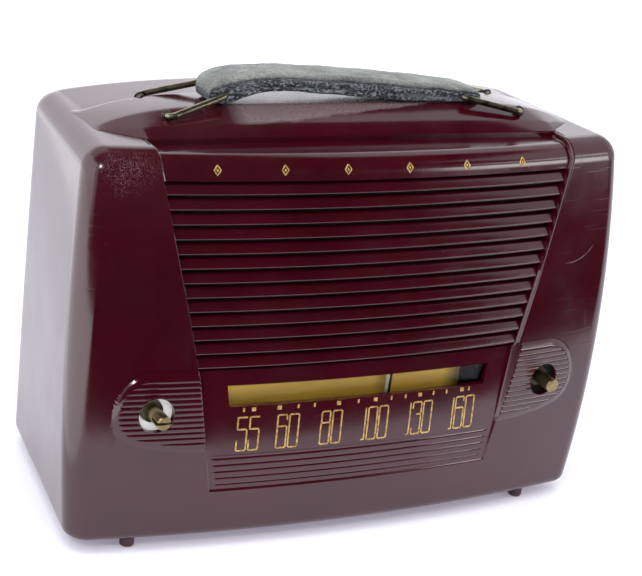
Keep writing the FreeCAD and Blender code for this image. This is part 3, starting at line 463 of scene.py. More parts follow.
def make_ridge(material):
    """The raised handle ridge: a faceted front slope, a flat crest and a short rear slope."""
    shape = Shape()
    rows = []
    spots = np.sin(np.linspace(-math.pi / 2, math.pi / 2, 131)) * (RIDGE_TIP - 0.05)
    for x in spots:
        past = max(abs(x) - 101.0, 0.0) / 20.0
        foot = WALL_Y + (RIDGE_FRONT - 1.0 - WALL_Y) * past
        crest = float(crest_z(x))
        base = min(TOP, crest)
        crease_y = foot + 6.4 * (1 - past)
        crease_z = base + 0.47 * (crest - base)
        rear = min(crest - 0.1, TOP + CROWN * max(0.0, 1.0 - (abs(x) / 112.0) ** 3) - 0.05)
        corners = [(foot, TOP - 6.0), (foot, base), (crease_y, crease_z), (RIDGE_FRONT, crest + 0.02),
                   (RIDGE_BACK, crest), (RIDGE_FOOT, rear), (RIDGE_FOOT, TOP - 6.0)]
        path = rounded_path(corners, [0.5, 1.0, 1.3, 1.6, 1.2])
        rows.append([(x, p[0], p[1]) for p in path])
    shape.grid(rows, caps=True)
    return shape.piece("handle_ridge", "case", material, 24.0)


def make_louvres(material):
    """The thirteen slats, each a bowed clapboard with a thin rounded lower nose."""
    shape = Shape()
    corners = [(4.0, 3.5), (2.2, 3.05), (0.0, -0.2), (0.45, -1.0), (4.4, 0.6), (4.9, 3.3), (4.0, 3.5)]
    section = rounded_path(corners, [0.55, 0.40, 0.35, 0.4, 0.3])[:-1]
    for nose in LOUVRE_TOP - np.arange(LOUVRES) * LOUVRE_PITCH:
        rows = []
        for x in np.linspace(-1.0, 1.0, 61):
            row = []
            for back, up in section:
                across = x * (float(edge_x(nose + up)) - 0.25)
                row.append((across, float(front_y(nose, across)) + RECESS - 0.5 + back, nose + up))
            rows.append(row)
        shape.grid(rows, closed_u=True, caps=True)
    return shape.piece("louvre_slats", "case", material, 40.0)


# ---- dial figures, scale marks and ornaments
def rim_inset(z):
    up = np.clip((z - (TOP - TOP_R)) / TOP_R, 0.0, 1.0)
    return TOP_R * (1.0 - np.sqrt(1.0 - up * up))


def face_y(x, z):
    """Y of the finished front surface, with its recesses."""
    x, z = np.asarray(x, float), np.asarray(z, float)
    return front_y(z, x) + front_relief(x, z) + rim_inset(z)


LINE_PROUD, PATCH_PROUD = 0.16, 0.15


def ribbon(shape, path, width):
    """A painted or inlaid line on the front, with a low rounded section."""
    path = [np.array(p, float) for p in path]
    dense = [path[0]]
    for a, b in zip(path, path[1:]):
        steps = max(1, int(np.linalg.norm(b - a) / 0.8))
        dense.extend(a + (b - a) * (i + 1) / steps for i in range(steps))
    rows = []
    for i, here in enumerate(dense):
        before, after = dense[max(i - 1, 0)], dense[min(i + 1, len(dense) - 1)]
        along = (after - before) / max(np.linalg.norm(after - before), 1e-6)
        side = np.array([-along[1], along[0]])
        end = i in (0, len(dense) - 1)
        row = []
        for part, high in ((-0.5, -0.05), (-0.44, 0.8), (0.0, 1.0), (0.44, 0.8), (0.5, -0.05)):
            spot = here + side * part * width * (0.86 if end else 1.0)
            row.append((spot[0], float(face_y(*spot)) - LINE_PROUD * high * (0.55 if end else 1.0), spot[1]))
        rows.append(row)
    shape.grid(rows)


def patch(shape, outline):
    """A small flat mark on the front with a chamfered rim."""
    points = [np.array(p, float) for p in outline]
    middle = sum(points) / len(points)
    rings = []
    for scale, high in ((1.0, -0.05), (0.97, 0.8), (0.86, 1.0)):
        rings.append([(*(middle + (p - middle) * scale), high) for p in points])
    rows = [[(x, float(face_y(x, z)) - PATCH_PROUD * high, z) for x, z, high in ring] for ring in rings]
    base = len(shape.verts)
    shape.grid(rows, closed_u=True)
    count = len(points)
    shape.faces.append([base + 2 * count + i for i in range(count)])


FOOT = [(0, 0.035), (0.12, 0), (0.88, 0), (1, 0.035)]
DIGITS = {
    "0": [[(0.5, 1), (0.12, 1), (0, 0.965), *FOOT, (1, 0.965), (0.88, 1), (0.5, 1)]],
    "1": [[(0.86, 1), (0.86, 0)], [(0.05, 0.012), (0.86, 0.012)]],
    "3": [[(0, 0.8), (0, 0.965), (0.12, 1), (0.88, 1), (1, 0.965), (1, 0.67), (0.86, 0.62), (0.42, 0.62)],
          [(0.86, 0.62), (1, 0.57), *FOOT[::-1], (0, 0.2)]],
    "5": [[(1, 1), (0.02, 1), (0.02, 0.64), (0.88, 0.64), (1, 0.6), *FOOT[::-1], (0, 0.32)]],
    "6": [[(0.98, 0.84), (0.98, 0.965), (0.86, 1), (0.12, 1), (0, 0.965), *FOOT, (1, 0.62), (0.88, 0.655),
           (0.02, 0.655)]],
    "8": [[(0.5, 1), (0.14, 1), (0.04, 0.965), (0.04, 0.69), (0.14, 0.655), (0.86, 0.655), (0.96, 0.69),
           (0.96, 0.965), (0.86, 1), (0.5, 1)],
          [(0.14, 0.655), (0, 0.62), *FOOT, (1, 0.62), (0.86, 0.655)]],
}
NUMBERS = (("55", -59.7), ("60", -41.1), ("80", -20.1), ("100", 0.5), ("130", 23.7), ("160", 46.9))
FIGURE_LOW, FIGURE_HIGH, FIGURE_WIDE, FIGURE_GAP = 45.2, 60.2, 4.45, 1.15
MARK_Z, MARK_TALL = 63.6, 0.88


def make_figures(material):
    """The dial numbers and, above them, the scale's large and small marks."""
    shape = Shape()
    for text, x in NUMBERS:
        for letter in text:
            wide = 1.7 if letter == "1" else FIGURE_WIDE
            for stroke in DIGITS[letter]:
                points = [(x + u * wide, FIGURE_LOW + v * (FIGURE_HIGH - FIGURE_LOW)) for u, v in stroke]
                ribbon(shape, points, 0.74)
            x += wide + FIGURE_GAP
    big = (-52.8, -40.8, -12.2, 6.2, 29.5, 52.4)
    small = (-57.4, -31.8, -24.1, -2.4, 14.4, 21.8, 36.7, 43.8, 56.2)
    square = ((-1, -1), (1, -1), (1, 1), (-1, 1))
    for places, half in ((big, 0.98), (small, 0.42)):
        for x in places:
            patch(shape, [(x + a * half, MARK_Z + b * MARK_TALL) for a, b in square])
    return shape.piece("dial_figures", "case", material, 50.0)


def lozenge(x, z, wide, tall):
    return [(x, z + tall), (x + wide, z), (x, z - tall), (x - wide, z)]


def make_ornaments(material):
    """Six small gilt lozenges spaced along the top band."""
    shape = Shape()
    middle = 166.4
    for x in (-77.0, -47.0, -17.8, 12.4, 42.0, 72.6):
        outline = lozenge(x, middle, 1.5, 2.0)
        ribbon(shape, outline + outline[:1], 0.6)
        patch(shape, lozenge(x, middle, 0.6, 0.75))
    return shape.piece("band_ornaments", "case", material, 50.0)


# ---- back door
LEAN_TURN = math.atan(LEAN / (TOP - BOTTOM))


def plate_mesh(name, loops, thick, bevel):
    """A flat plate with holes and bevelled edges, standing in X and Z, its faces at +-thick/2 in Y (mm)."""
    curve = bpy.data.curves.new(name, "CURVE")
    curve.dimensions = "2D"
    curve.fill_mode = "BOTH"
    for loop in loops:
        spline = curve.splines.new("POLY")
        spline.points.add(len(loop) - 1)
        for point, (x, z) in zip(spline.points, loop):
            point.co = (x * 0.001, z * 0.001, 0.0, 1.0)
        spline.use_cyclic_u = True
    curve.extrude = (thick / 2 - bevel) * 0.001
    curve.bevel_depth = bevel * 0.001
    curve.bevel_resolution = 1
    curve.offset = -bevel * 0.001
    holder = new_object(name, curve)
    bpy.context.view_layer.update()
    mesh = bpy.data.meshes.new_from_object(holder.evaluated_get(bpy.context.evaluated_depsgraph_get()))
    bpy.data.objects.remove(holder)
    mesh.transform(Matrix.Rotation(math.pi / 2, 4, "X"))
    return mesh


def round_box(x0, z0, x1, z1, radius):
    """A rectangle with rounded corners, as a loop of points."""
    loop = []
    for cx, cz, first in ((x1 - radius, z1 - radius, 0), (x0 + radius, z1 - radius, 90),
                          (x0 + radius, z0 + radius, 180), (x1 - radius, z0 + radius, 270)):
        for i in range(7):
            turn = math.radians(first + 15 * i)
            loop.append((cx + radius * math.cos(turn), cz + radius * math.sin(turn)))
    return loop


def on_rear(out):
    """Matrix from a plate standing in X and Z to the leaning rear face, moved out of it by some mm."""
    return (Matrix.Translation((0, REAR * 0.001, BOTTOM * 0.001)) @ Matrix.Rotation(LEAN_TURN, 4, "X")
            @ Matrix.Translation((0, out * 0.001, 0)))


def make_door(material):
    """The rear door: a vented plate with its hinge barrel along the bottom and a raised rim line."""
    half, low, high, thick = 91.4, 14.3, 151.4, 3.4
    middle = -0.3 - thick / 2
    rounded = [p for p in round_box(-half, low - 30, half, high, 7.4) if p[1] > high - 8]
    loops = [[(-half, low), *rounded[::-1], (half, low)]]
    for column in range(-4, 5):
        for z in (42.0, 74.0, 106.0):
            loops.append(round_box(column * 17 - 2, z, column * 17 + 2, z + 22, 1.95))
    loops.append([(60 + 4.0 * c, 27 + 4.0 * s) for c, s in circle(32)])
    mesh = plate_mesh("rear_door_panel", loops, thick, 0.45)
    mesh.transform(on_rear(middle))
    shape = Shape()
    barrel = [[(x, middle + 1.7 * c, low + 1.7 * s) for c, s in circle(24)] for x in (-half, 0.0, half)]
    shape.grid(barrel, closed_u=True, caps=True)
    rim = round_box(-half + 6, low + 6, half - 6, high - 6, 4.5)
    rows = []
    tall = 68.0
    centre = low + tall
    for shrink, out in ((0.0, -0.35), (0.35, 0.15), (1.2, 0.15), (1.55, -0.35)):
        wide, high = 1 - shrink / half, 1 - shrink / tall
        rows.append([(x * wide, out, centre + (z - centre) * high) for x, z in rim])
    shape.grid(rows, closed_u=True)
    extra = bpy.data.meshes.new("door_extra")
    extra.from_pydata((np.array(shape.verts) * 0.001).tolist(), [], shape.faces)
    extra.transform(on_rear(0.0))
    joined = bmesh.new()
    joined.from_mesh(mesh)
    joined.from_mesh(extra)
    bmesh.ops.recalc_face_normals(joined, faces=joined.faces)
    joined.to_mesh(mesh)
    joined.free()
    return finish_piece("rear_door_panel", mesh, "rear_door", material, 30.0, ["rear_door"])


# ---- strap handle
STRAP_TOP = [(-66.2, 188.0), (-65.8, 190.6), (-64.0, 193.0), (-60.4, 195.2), (-55.0, 196.4), (-45.0, 197.2),
             (-35.0, 197.4), (-15.0, 196.8), (9.3, 195.4), (33.0, 193.4), (50.0, 191.7), (58.0, 190.7),
             (64.0, 189.5), (68.6, 187.9), (70.6, 185.4)]
STRAP_LOW = [(-66.2, 187.2), (-65.8, 185.4), (-63.8, 184.2), (-57.0, 183.8), (-50.0, 186.0), (-44.0, 187.9),
             (-30.0, 188.6), (-11.0, 187.3), (10.0, 185.6), (25.0, 184.4), (40.0, 183.7), (50.0, 183.5),
             (58.0, 183.5), (64.0, 183.4), (68.6, 183.5), (70.6, 184.3)]
STRAP_START, STRAP_END, STRAP_HALF = -66.2, 70.6, 9.3
STRAP_Y = -3.7


def curve_at(points, x):
    """Smooth height of a drawn profile at x."""
    xs, zs = np.array(points).T
    slopes = np.gradient(zs, xs)
    i = np.clip(np.searchsorted(xs, x) - 1, 0, len(xs) - 2)
    h = xs[i + 1] - xs[i]
    t = np.clip((x - xs[i]) / h, 0, 1)
    return ((1 + 2 * t) * (1 - t) ** 2 * zs[i] + t * (1 - t) ** 2 * h * slopes[i]
            + t * t * (3 - 2 * t) * zs[i + 1] + t * t * (t - 1) * h * slopes[i + 1])


SECTION = [(0.0, 0.0), (0.35, 0.0), (0.7, 0.005), (0.88, 0.02), (0.965, 0.07), (0.985, 0.15), (0.975, 0.22),
           (0.94, 0.265), (0.975, 0.31), (0.995, 0.42), (0.99, 0.53), (0.96, 0.60), (0.90, 0.645),
           (0.955, 0.69), (0.975, 0.76), (0.93, 0.87), (0.80, 0.93), (0.70, 0.945), (0.66, 0.935),
           (0.58, 0.96), (0.35, 0.985), (0.0, 1.0)]


def strap_heights(x):
    """Underside and top of the strap at x."""
    return curve_at(STRAP_LOW, x), curve_at(STRAP_TOP, x)


def make_strap(material, thread):
    """The stiff leather strap of two layers, with rubbed ends and a row of stitches down each side."""
    spots = [np.linspace(STRAP_START, -62, 14), np.linspace(-61.4, 64.4, 188), np.linspace(65, STRAP_END, 14)]
    whole = SECTION + [(-u, v) for u, v in SECTION[-2:0:-1]]
    rows = []
    for x in np.concatenate(spots):
        low, top = strap_heights(x)
        end = min(x - STRAP_START, STRAP_END - x)
        curl = 1.0 - min(1.0, (end + 0.3) / 5.0)
        waver = 1 + 0.012 * math.sin(x * 0.23) + 0.008 * math.sin(x * 0.71 + 1)
        half = STRAP_HALF * (0.60 + 0.40 * math.sqrt(1.0 - curl * curl)) * waver
        row = []
        for u, v in whole:
            dent = 0.04 * math.sin(x * 0.9 + 3 * u) + 0.12 * math.sin(x * 0.27 + 4 * u)
            row.append((x, STRAP_Y + u * half, low + (top - low) * v + dent * min(1.0, end / 6.0)))
        rows.append(row)
    shape = Shape()
    shape.grid(rows, closed_u=True, caps=True)
    strap = shape.piece("handle_strap_leather", "handle_strap", material, 70.0, ["handle_strap"])
    layer = strap.data.attributes.new("layer", "FLOAT", "POINT")
    flat = np.array([v.co[:] for v in strap.data.vertices]) * 1000.0
    low, top = strap_heights(flat[:, 0])
    layer.data.foreach_set("value", np.clip((flat[:, 2] - low) / np.maximum(top - low, 0.1), 0.0, 1.0))
    stitches = Shape()
    for side in (-1, 1):
        for x in np.arange(-58.0, 62.0, 3.1):
            low, top = strap_heights(x + 1.1)
            slope = (curve_at(STRAP_TOP, x + 2.2) - curve_at(STRAP_TOP, x)) / 2.2
            middle = np.array([x + 1.1, STRAP_Y + side * 0.685 * STRAP_HALF, low + (top - low) * 0.925])
            rings = []
            for along in np.linspace(-1.0, 1.0, 5):
                thick = 0.24 * math.sqrt(max(0.05, 1 - (along * 0.97) ** 2))
                spot = middle + np.array([along, 0.0, slope * along + 0.05 * (1 - along * along)])
                rings.append([spot + np.array([0, thick * c, 0.6 * thick * s]) for c, s in circle(8)])
            stitches.grid(rings, closed_u=True, caps=True)
    stitches.piece("strap_stitches", "handle_strap", thread, 80.0)


# ---- trim of the controls, dial and bails
def washer(name, x, profile, material):
    """A washer round a control hole: profile points are (Y, radius)."""
    shape = Shape()
    rows = [[(x + r * c, y, KNOB_Z + r * s) for y, r in profile] for c, s in circle(48)]
    shape.grid(rows, closed_u=True, closed_v=True)
    shape.piece(name, "case", material, 35.0)


def make_control_trim(glowing_felt, dark):
    """A pale washer behind the left control, glowing faintly as painted light, and a dark one behind the
    right.
    """
    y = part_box("control_bracket_left")[0].y * 1000.0
    profile = [(y - 3.4, 5.2), (y - 3.6, 5.4), (y - 3.6, 12.2), (y - 3.3, 12.5), (y - 2.6, 12.5),
               (y - 2.6, 5.2)]
    washer("volume_washer", -KNOB_X, profile, glowing_felt)
    washer("tuning_washer", KNOB_X, profile, dark)


def dark_block(name, low, high, body, material):
    """A small box between two corners in mm, its edges broken."""
    middle = [(a + b) / 2 for a, b in zip(low, high)]
    bm = bmesh.new()
    bmesh.ops.create_cube(bm, size=1.0)
    for vert in bm.verts:
        vert.co = Vector([(m + c * (b - a)) * 0.001 for m, c, a, b in zip(middle, vert.co, low, high)])
    bmesh.ops.bevel(bm, geom=bm.edges[:], offset=0.0001, segments=2, profile=0.5, affect="EDGES")
    mesh = bpy.data.meshes.new(name)
    bm.to_mesh(mesh)
    bm.free()
    finish_piece(name, mesh, body, material, 35.0)


def make_dial_trim(dark):
    """Painted shadow and shade: a dark strip beside the pointer's bright bar as its shadow, and a black block
    standing in for the shade beyond the gold card.
    """
    low, high = [v * 1000.0 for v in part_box("dial_pointer")]
    middle = (low.x + high.x) / 2
    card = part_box("dial_backplate")[1] * 1000.0
    for name, body, start, end in (
            ("pointer_painted_shadow", "dial_pointer", (middle + 1.3, low.y + 0.1, low.z + 0.3),
             (middle + 2.3, low.y + 0.7, high.z - 4.0)),
            ("pointer_painted_shadow_foot", "dial_pointer", (middle + 0.6, low.y + 0.15, low.z + 0.4),
             (middle + 1.6, low.y + 0.65, low.z + 1.2)),
            ("dial_shade", "case", (card.x - 1.5, card.y + 0.3, 57.5), (card.x + 15.0, card.y + 0.8, 80.5))):
        dark_block(name, start, end, body, dark)


def make_hole_shade_rings(material):
    """Black rings at the four holes that the bail wires enter, as painted shade for the holes' dark mouths.
    """
    shape = Shape()
    for side in (-1, 1):
        for y, turn in ((-17.9, -1), (11.0, 1)):
            rows = []
            for radius, out in ((2.25, -0.5), (2.1, 0.06), (1.7, 0.08), (1.5, -0.9)):
                rows.append([(side * 88.0 + radius * 1.15 * c, y + turn * (out - 0.45 * radius * s),
                              180.5 + radius * s) for c, s in circle(24)])
            shape.grid(rows, closed_u=True)
    return shape.piece("bail_holes_painted_shade", "case", material, 40.0)


def make_lining(material):
    """The inside of the moulding, seen when the door is open."""
    shape = Shape()
    rows = []
    for z in np.linspace(BOTTOM + 3.0, TOP - 4.0, 18):
        loop = half_loop(z, 3.0)
        keep = loop[len(INNER) + len(OUTER) - 2:len(loop) - REAR_COUNT + int(REAR_COUNT * 0.2)]
        rows.append(keep[::2])
    shape.grid(rows)
    shape.grid([[(-x, y, z) for x, y, z in row] for row in rows])
    across = np.linspace(-118, 118, 20)
    shape.grid([[(x, y, TOP - 3.2) for x in across] for y in np.linspace(-30.0, 44.0, 12)])
    return shape.piece("cabinet_lining", "case", material, 50.0)


# ---- materials
class Finish:
    """A node material with a few short-cuts; places are metres in the set's own frame."""

    def __init__(self, name):
        self.material = bpy.data.materials.new(name)
        self.material.use_nodes = True
        self.nodes = self.material.node_tree.nodes
        self.links = self.material.node_tree.links
        self.shader = self.nodes["Principled BSDF"]
        self.place = self.nodes.new("ShaderNodeTexCoord").outputs["Object"]

    def feed(self, socket, value):
        """A number, a vector or colour, or another node's output into one input."""
        if isinstance(value, (int, float)):
            socket.default_value = value
        elif isinstance(value, tuple):
            socket.default_value = (*value, 1.0)[:len(socket.default_value)]
        elif value is not None:
            self.links.new(value, socket)

    def fill(self, node, values):
        for key, value in values.items():
            self.feed(node.inputs[key.replace("_", " ")], value)

    def node(self, kind, settings=None, **values):
        made = self.nodes.new("ShaderNode" + kind)
        for key, value in (settings or {}).items():
            setattr(made, key, value)
        self.fill(made, values)
        return made

    def spread(self, scale):
        """The object's coordinates, stretched by a factor per axis if one is given."""
        if scale is None:
            return self.place
        return self.node("Mapping", Scale=scale, Vector=self.place).outputs["Vector"]

    def noise(self, scale, detail=4.0, stretch=None, rough=0.6):
        made = self.node("TexNoise", Scale=scale, Detail=detail, Roughness=rough, Vector=self.spread(stretch))
        return made.outputs["Fac"]

    def cells(self, scale, stretch=None):
        return self.node("TexVoronoi", Scale=scale, Vector=self.spread(stretch)).outputs["Distance"]

    def ramp(self, value, low, high, start=0.0, end=1.0):
        made = self.node("MapRange", From_Min=low, From_Max=high, To_Min=start, To_Max=end, Value=value)
        return made.outputs["Result"]

    def maths(self, kind, *values):
        made = self.node("Math", {"operation": kind})
        for socket, value in zip(made.inputs, values):
            self.feed(socket, value)
        return made.outputs["Value"]

    def times(self, a, b):
        return self.maths("MULTIPLY", a, b)

    def plus(self, a, b):
        return self.maths("ADD", a, b)

    def mix(self, factor, first, second):
        return self.node("Mix", {"data_type": "RGBA"}, Factor=factor, A=first, B=second).outputs["Result"]

    def distance(self, centre):
        made = self.node("VectorMath", {"operation": "DISTANCE"})
        self.feed(made.inputs[0], self.place)
        self.feed(made.inputs[1], centre)
        return made.outputs["Value"]

    def near(self, centre, inner, outer):
        """1 near a place, falling to 0 at the outer distance."""
        return self.ramp(self.distance(centre), inner, outer, 1.0, 0.0)

    def thin_arc(self, centre, radius, half):
        """1 on a thin shell round a place, which draws an arc where a surface crosses it."""
        off = self.maths("ABSOLUTE", self.maths("SUBTRACT", self.distance(centre), radius))
        return self.ramp(off, 0.0, half, 1.0, 0.0)

    def axis(self, name):
        return self.node("SeparateXYZ", Vector=self.place).outputs[name]

    def bump(self, height, strength, distance=0.001, after=None):
        made = self.node("Bump", Strength=strength, Distance=distance, Height=height, Normal=after)
        self.feed(self.shader.inputs["Normal"], made.outputs["Normal"])
        return made.outputs["Normal"]

    def done(self, colour, rough, **more):
        """The material, with its colour, roughness and whatever else is given."""
        self.fill(self.shader, {"Base_Color": colour, "Roughness": rough, **more})
        return self.material


def make_bakelite():
    """Dark maroon moulded bakelite: glossy, with a faint mottle, fine scuffs, settled dust and a light grey
    painted reflection on the handle ridge's upper facet.
    """
    f = Finish("bakelite")
    mottle = f.ramp(f.noise(26.0, 5.0), 0.35, 0.68)
    base = f.mix(mottle, (0.028, 0.0006, 0.0032), (0.039, 0.0013, 0.0054))
    streaks = f.ramp(f.noise(60.0, 3.0, (1.0, 1.0, 9.0)), 0.66, 0.80, 0.0, 0.35)
    base = f.mix(streaks, base, (0.066, 0.007, 0.017))
    height = f.ramp(f.axis("Z"), 0.12, 0.185)
    specks = f.ramp(f.cells(900.0), 0.05, 0.11, 1.0, 0.0)
    sparse = f.ramp(f.noise(150.0, 2.0), 0.60, 0.72)
    dusty = f.times(specks, sparse)
    corner = f.near((-0.116, -0.052, 0.172), 0.004, 0.019)
    corner = f.times(corner, f.ramp(f.noise(95.0, 3.0), 0.40, 0.58))
    scuff = f.times(corner, f.ramp(f.noise(2300.0, 5.0, (1.0, 1.0, 0.7), 0.7), 0.53, 0.66))
    dust_film_and_painted_reflection = f.ramp(f.noise(9.0, 4.0), 0.45, 0.75, 0.0, 0.014)
    dust_film_and_painted_reflection = f.times(dust_film_and_painted_reflection, height)
    # Painted reflection: a light grey patch on the handle ridge's upper facet, where the white surroundings
    # would be seen mirrored; it is added to the dust film.
    wander = f.times(f.noise(80.0, 3.0), 0.006)
    forward = f.maths("SUBTRACT", f.plus(f.axis("Y"), wander), f.times(f.axis("X"), 0.1255))
    crest = f.times(f.ramp(f.axis("Z"), 0.1776, 0.1786), f.ramp(forward, -0.0152, -0.0138))
    crest = f.times(crest, f.ramp(f.axis("X"), -0.060, -0.051))
    crest = f.times(crest, f.ramp(f.axis("X"), 0.045, 0.075, 1.0, 0.0))
    dust_film_and_painted_reflection = f.plus(dust_film_and_painted_reflection, f.times(crest, f.ramp(f.noise(700.0, 4.0), 0.3, 0.7, 0.17, 0.26)))
    wear_and_painted_reflection = f.plus(f.times(dusty, 0.32), f.times(scuff, 0.55))
    arc_scratch = f.thin_arc((0.104, -0.052, 0.1377), 0.0187, 0.00024)
    arc_scratch = f.times(arc_scratch, f.ramp(f.axis("X"), 0.1015, 0.106))
    arc_scratch = f.times(arc_scratch, f.ramp(f.axis("Z"), 0.1240, 0.1265, 1.0, 0.0))
    wear_and_painted_reflection = f.plus(wear_and_painted_reflection, f.times(arc_scratch, f.ramp(f.noise(400.0, 3.0), 0.3, 0.6, 0.12, 0.5)))
    wear_and_painted_reflection = f.maths("MINIMUM", f.plus(wear_and_painted_reflection, dust_film_and_painted_reflection), 0.85)
    colour = f.mix(wear_and_painted_reflection, base, (0.46, 0.40, 0.40))
    scratch_a = f.ramp(f.noise(330.0, 1.5, (0.10, 0.10, 1.9)), 0.66, 0.70)
    scratch_b = f.ramp(f.noise(300.0, 1.5, (1.7, 1.7, 0.09)), 0.67, 0.71)
    scratches = f.maths("MAXIMUM", scratch_a, scratch_b)
    rough = f.ramp(f.noise(34.0, 6.0), 0.3, 0.8, 0.10, 0.24)
    rough = f.plus(rough, f.times(scratches, 0.04))
    rough = f.plus(rough, f.times(wear_and_painted_reflection, 0.5))
    swell = f.bump(f.noise(55.0, 2.0), 0.05, 0.0006)
    f.bump(f.plus(f.times(scratches, -0.25), f.times(wear_and_painted_reflection, 0.7)), 0.12, 0.0003, swell)
    return f.done(colour, rough, IOR=1.62)


def make_metal(name, dark, light, rough=(0.25, 0.5), grain=300.0, strength=0.08):
    f = Finish(name)
    patina = f.ramp(f.noise(grain * 0.35, 6.0, (1.0, 1.0, 1.0)), 0.35, 0.68)
    fine = f.noise(grain * 3.0, 4.0, (1.0, 1.0, 1.0))
    f.bump(f.plus(patina, fine), strength, 0.0002)
    return f.done(f.mix(patina, dark, light), f.ramp(fine, 0.3, 0.75, *rough[::-1]), Metallic=1.0)


def make_plain(name, dark, light, rough, strength=0.15):
    f = Finish(name)
    cloud = f.ramp(f.noise(50.0, 5.0), 0.3, 0.7)
    fine = f.noise(800.0, 4.0)
    f.bump(f.plus(f.times(cloud, 0.4), fine), strength, 0.0002)
    return f.done(f.mix(cloud, dark, light), f.ramp(fine, 0.3, 0.7, *rough))


def make_leather():
    """Worn dark leather: grey-green on the upper layer's top, near black in its creases and down the sides;
    the lighter top and the darker sides are painted light and shade, set by which way each face turns.
    """
    f = Finish("leather")
    pebble = f.cells(820.0, (0.8, 1.0, 1.0))
    crease = f.ramp(f.noise(300.0, 7.0, (0.45, 1.0, 1.0), 0.72), 0.42, 0.60)
    facing = f.node("SeparateXYZ", Vector=f.node("NewGeometry").outputs["Normal"]).outputs["Z"]
    layer = f.node("Attribute", {"attribute_name": "layer"}).outputs["Fac"]
    upper = f.ramp(f.plus(layer, f.times(f.noise(420.0, 4.0), 0.16)), 0.66, 0.88)
    # Painted light and shade: on the upper layer, faces turned up take the light top colour, and faces turned
    # sideways or down take the near-black side colour.
    upper_layer_and_painted_top_light = f.times(f.ramp(facing, -0.6, 0.25, 0.35, 1.0), upper)
    fine = f.ramp(f.noise(1300.0, 4.0, (0.7, 1.0, 1.0)), 0.40, 0.62)
    patchy = f.ramp(f.noise(150.0, 7.0, (0.4, 0.8, 1.0)), 0.34, 0.60, 0.35, 1.0)
    light = f.times(patchy, f.plus(f.times(fine, 0.45), 0.50))
    streak = f.ramp(f.noise(380.0, 5.0, (0.09, 0.6, 1.6)), 0.50, 0.66, 0.0, 0.55)
    glint = f.times(f.ramp(f.noise(1150.0, 2.0, (0.6, 1.0, 1.0)), 0.50, 0.60), 0.75)
    side = f.mix(f.maths("MAXIMUM", streak, glint), (0.005, 0.006, 0.013), (0.22, 0.235, 0.25))
    top = f.mix(light, (0.035, 0.040, 0.040), (0.255, 0.275, 0.242))
    colour = f.mix(upper_layer_and_painted_top_light, side, top)
    grain = f.bump(pebble, 0.55, 0.0005)
    f.bump(crease, 0.5, 0.0006, grain)
    return f.done(colour, f.ramp(crease, 0.0, 1.0, 0.45, 0.62), Sheen_Weight=0.12)


def make_gold_paint():
    f = Finish("gilt_paint")
    wear = f.ramp(f.noise(650.0, 5.0), 0.36, 0.60)
    colour = f.mix(wear, (0.30, 0.17, 0.045), (0.70, 0.47, 0.16))
    f.bump(f.noise(2600.0, 3.0), 0.25, 0.0001)
    return f.done(colour, f.ramp(wear, 0.0, 1.0, 0.55, 0.34), Metallic=0.55)


def make_gold_card():
    f = Finish("gold_card")
    # Painted shadow: the card's colour darkens towards its top, as if shaded by the window's upper edge.
    low = f.ramp(f.axis("Z"), 0.060, 0.078)
    grain = f.ramp(f.noise(240.0, 5.0, (0.12, 1.0, 1.0)), 0.30, 0.70)
    colour = f.mix(low, (0.98, 0.60, 0.08), (0.62, 0.38, 0.045))
    colour = f.mix(f.times(grain, 0.35), colour, (0.74, 0.50, 0.08))
    # Painted shade: towards its right end the card fades to near black.
    colour = f.mix(f.ramp(f.axis("X"), 0.047, 0.0545, 0.0, 0.85), colour, (0.02, 0.014, 0.006))
    f.bump(f.noise(1500.0, 3.0), 0.12, 0.0001)
    return f.done(colour, f.ramp(grain, 0.0, 1.0, 0.34, 0.5), Metallic=0.35)


def make_clear():
    f = Finish("clear_plastic")
    haze = f.ramp(f.noise(300.0, 4.0), 0.3, 0.8, 0.02, 0.10)
    f.bump(f.noise(90.0, 2.0), 0.02, 0.0003)
    return f.done((0.97, 0.96, 0.92), haze, Transmission_Weight=1.0, IOR=1.18)


def make_cloth():
    f = Finish("grille_cloth")
    waves = []
    for direction in ("X", "Z"):
        wave = f.node("TexWave", {"bands_direction": direction}, Scale=190.0, Distortion=0.4, Vector=f.place)
        waves.append(wave.outputs["Fac"])
    weave = f.times(*waves)
    f.bump(weave, 0.6, 0.0003)
    return f.done(f.mix(weave, (0.006, 0.004, 0.004), (0.030, 0.020, 0.016)), 0.9)


def make_tube_glass():
    f = Finish("tube_glass")
    silver = f.ramp(f.axis("Z"), 0.062, 0.072)
    f.bump(f.noise(40.0, 2.0), 0.03, 0.0003)
    colour = f.mix(silver, (0.10, 0.11, 0.12), (0.42, 0.42, 0.44))
    return f.done(colour, f.ramp(silver, 0, 1, 0.06, 0.18), Metallic=silver)


def shader_inputs(material):
    return material.node_tree.nodes["Principled BSDF"].inputs


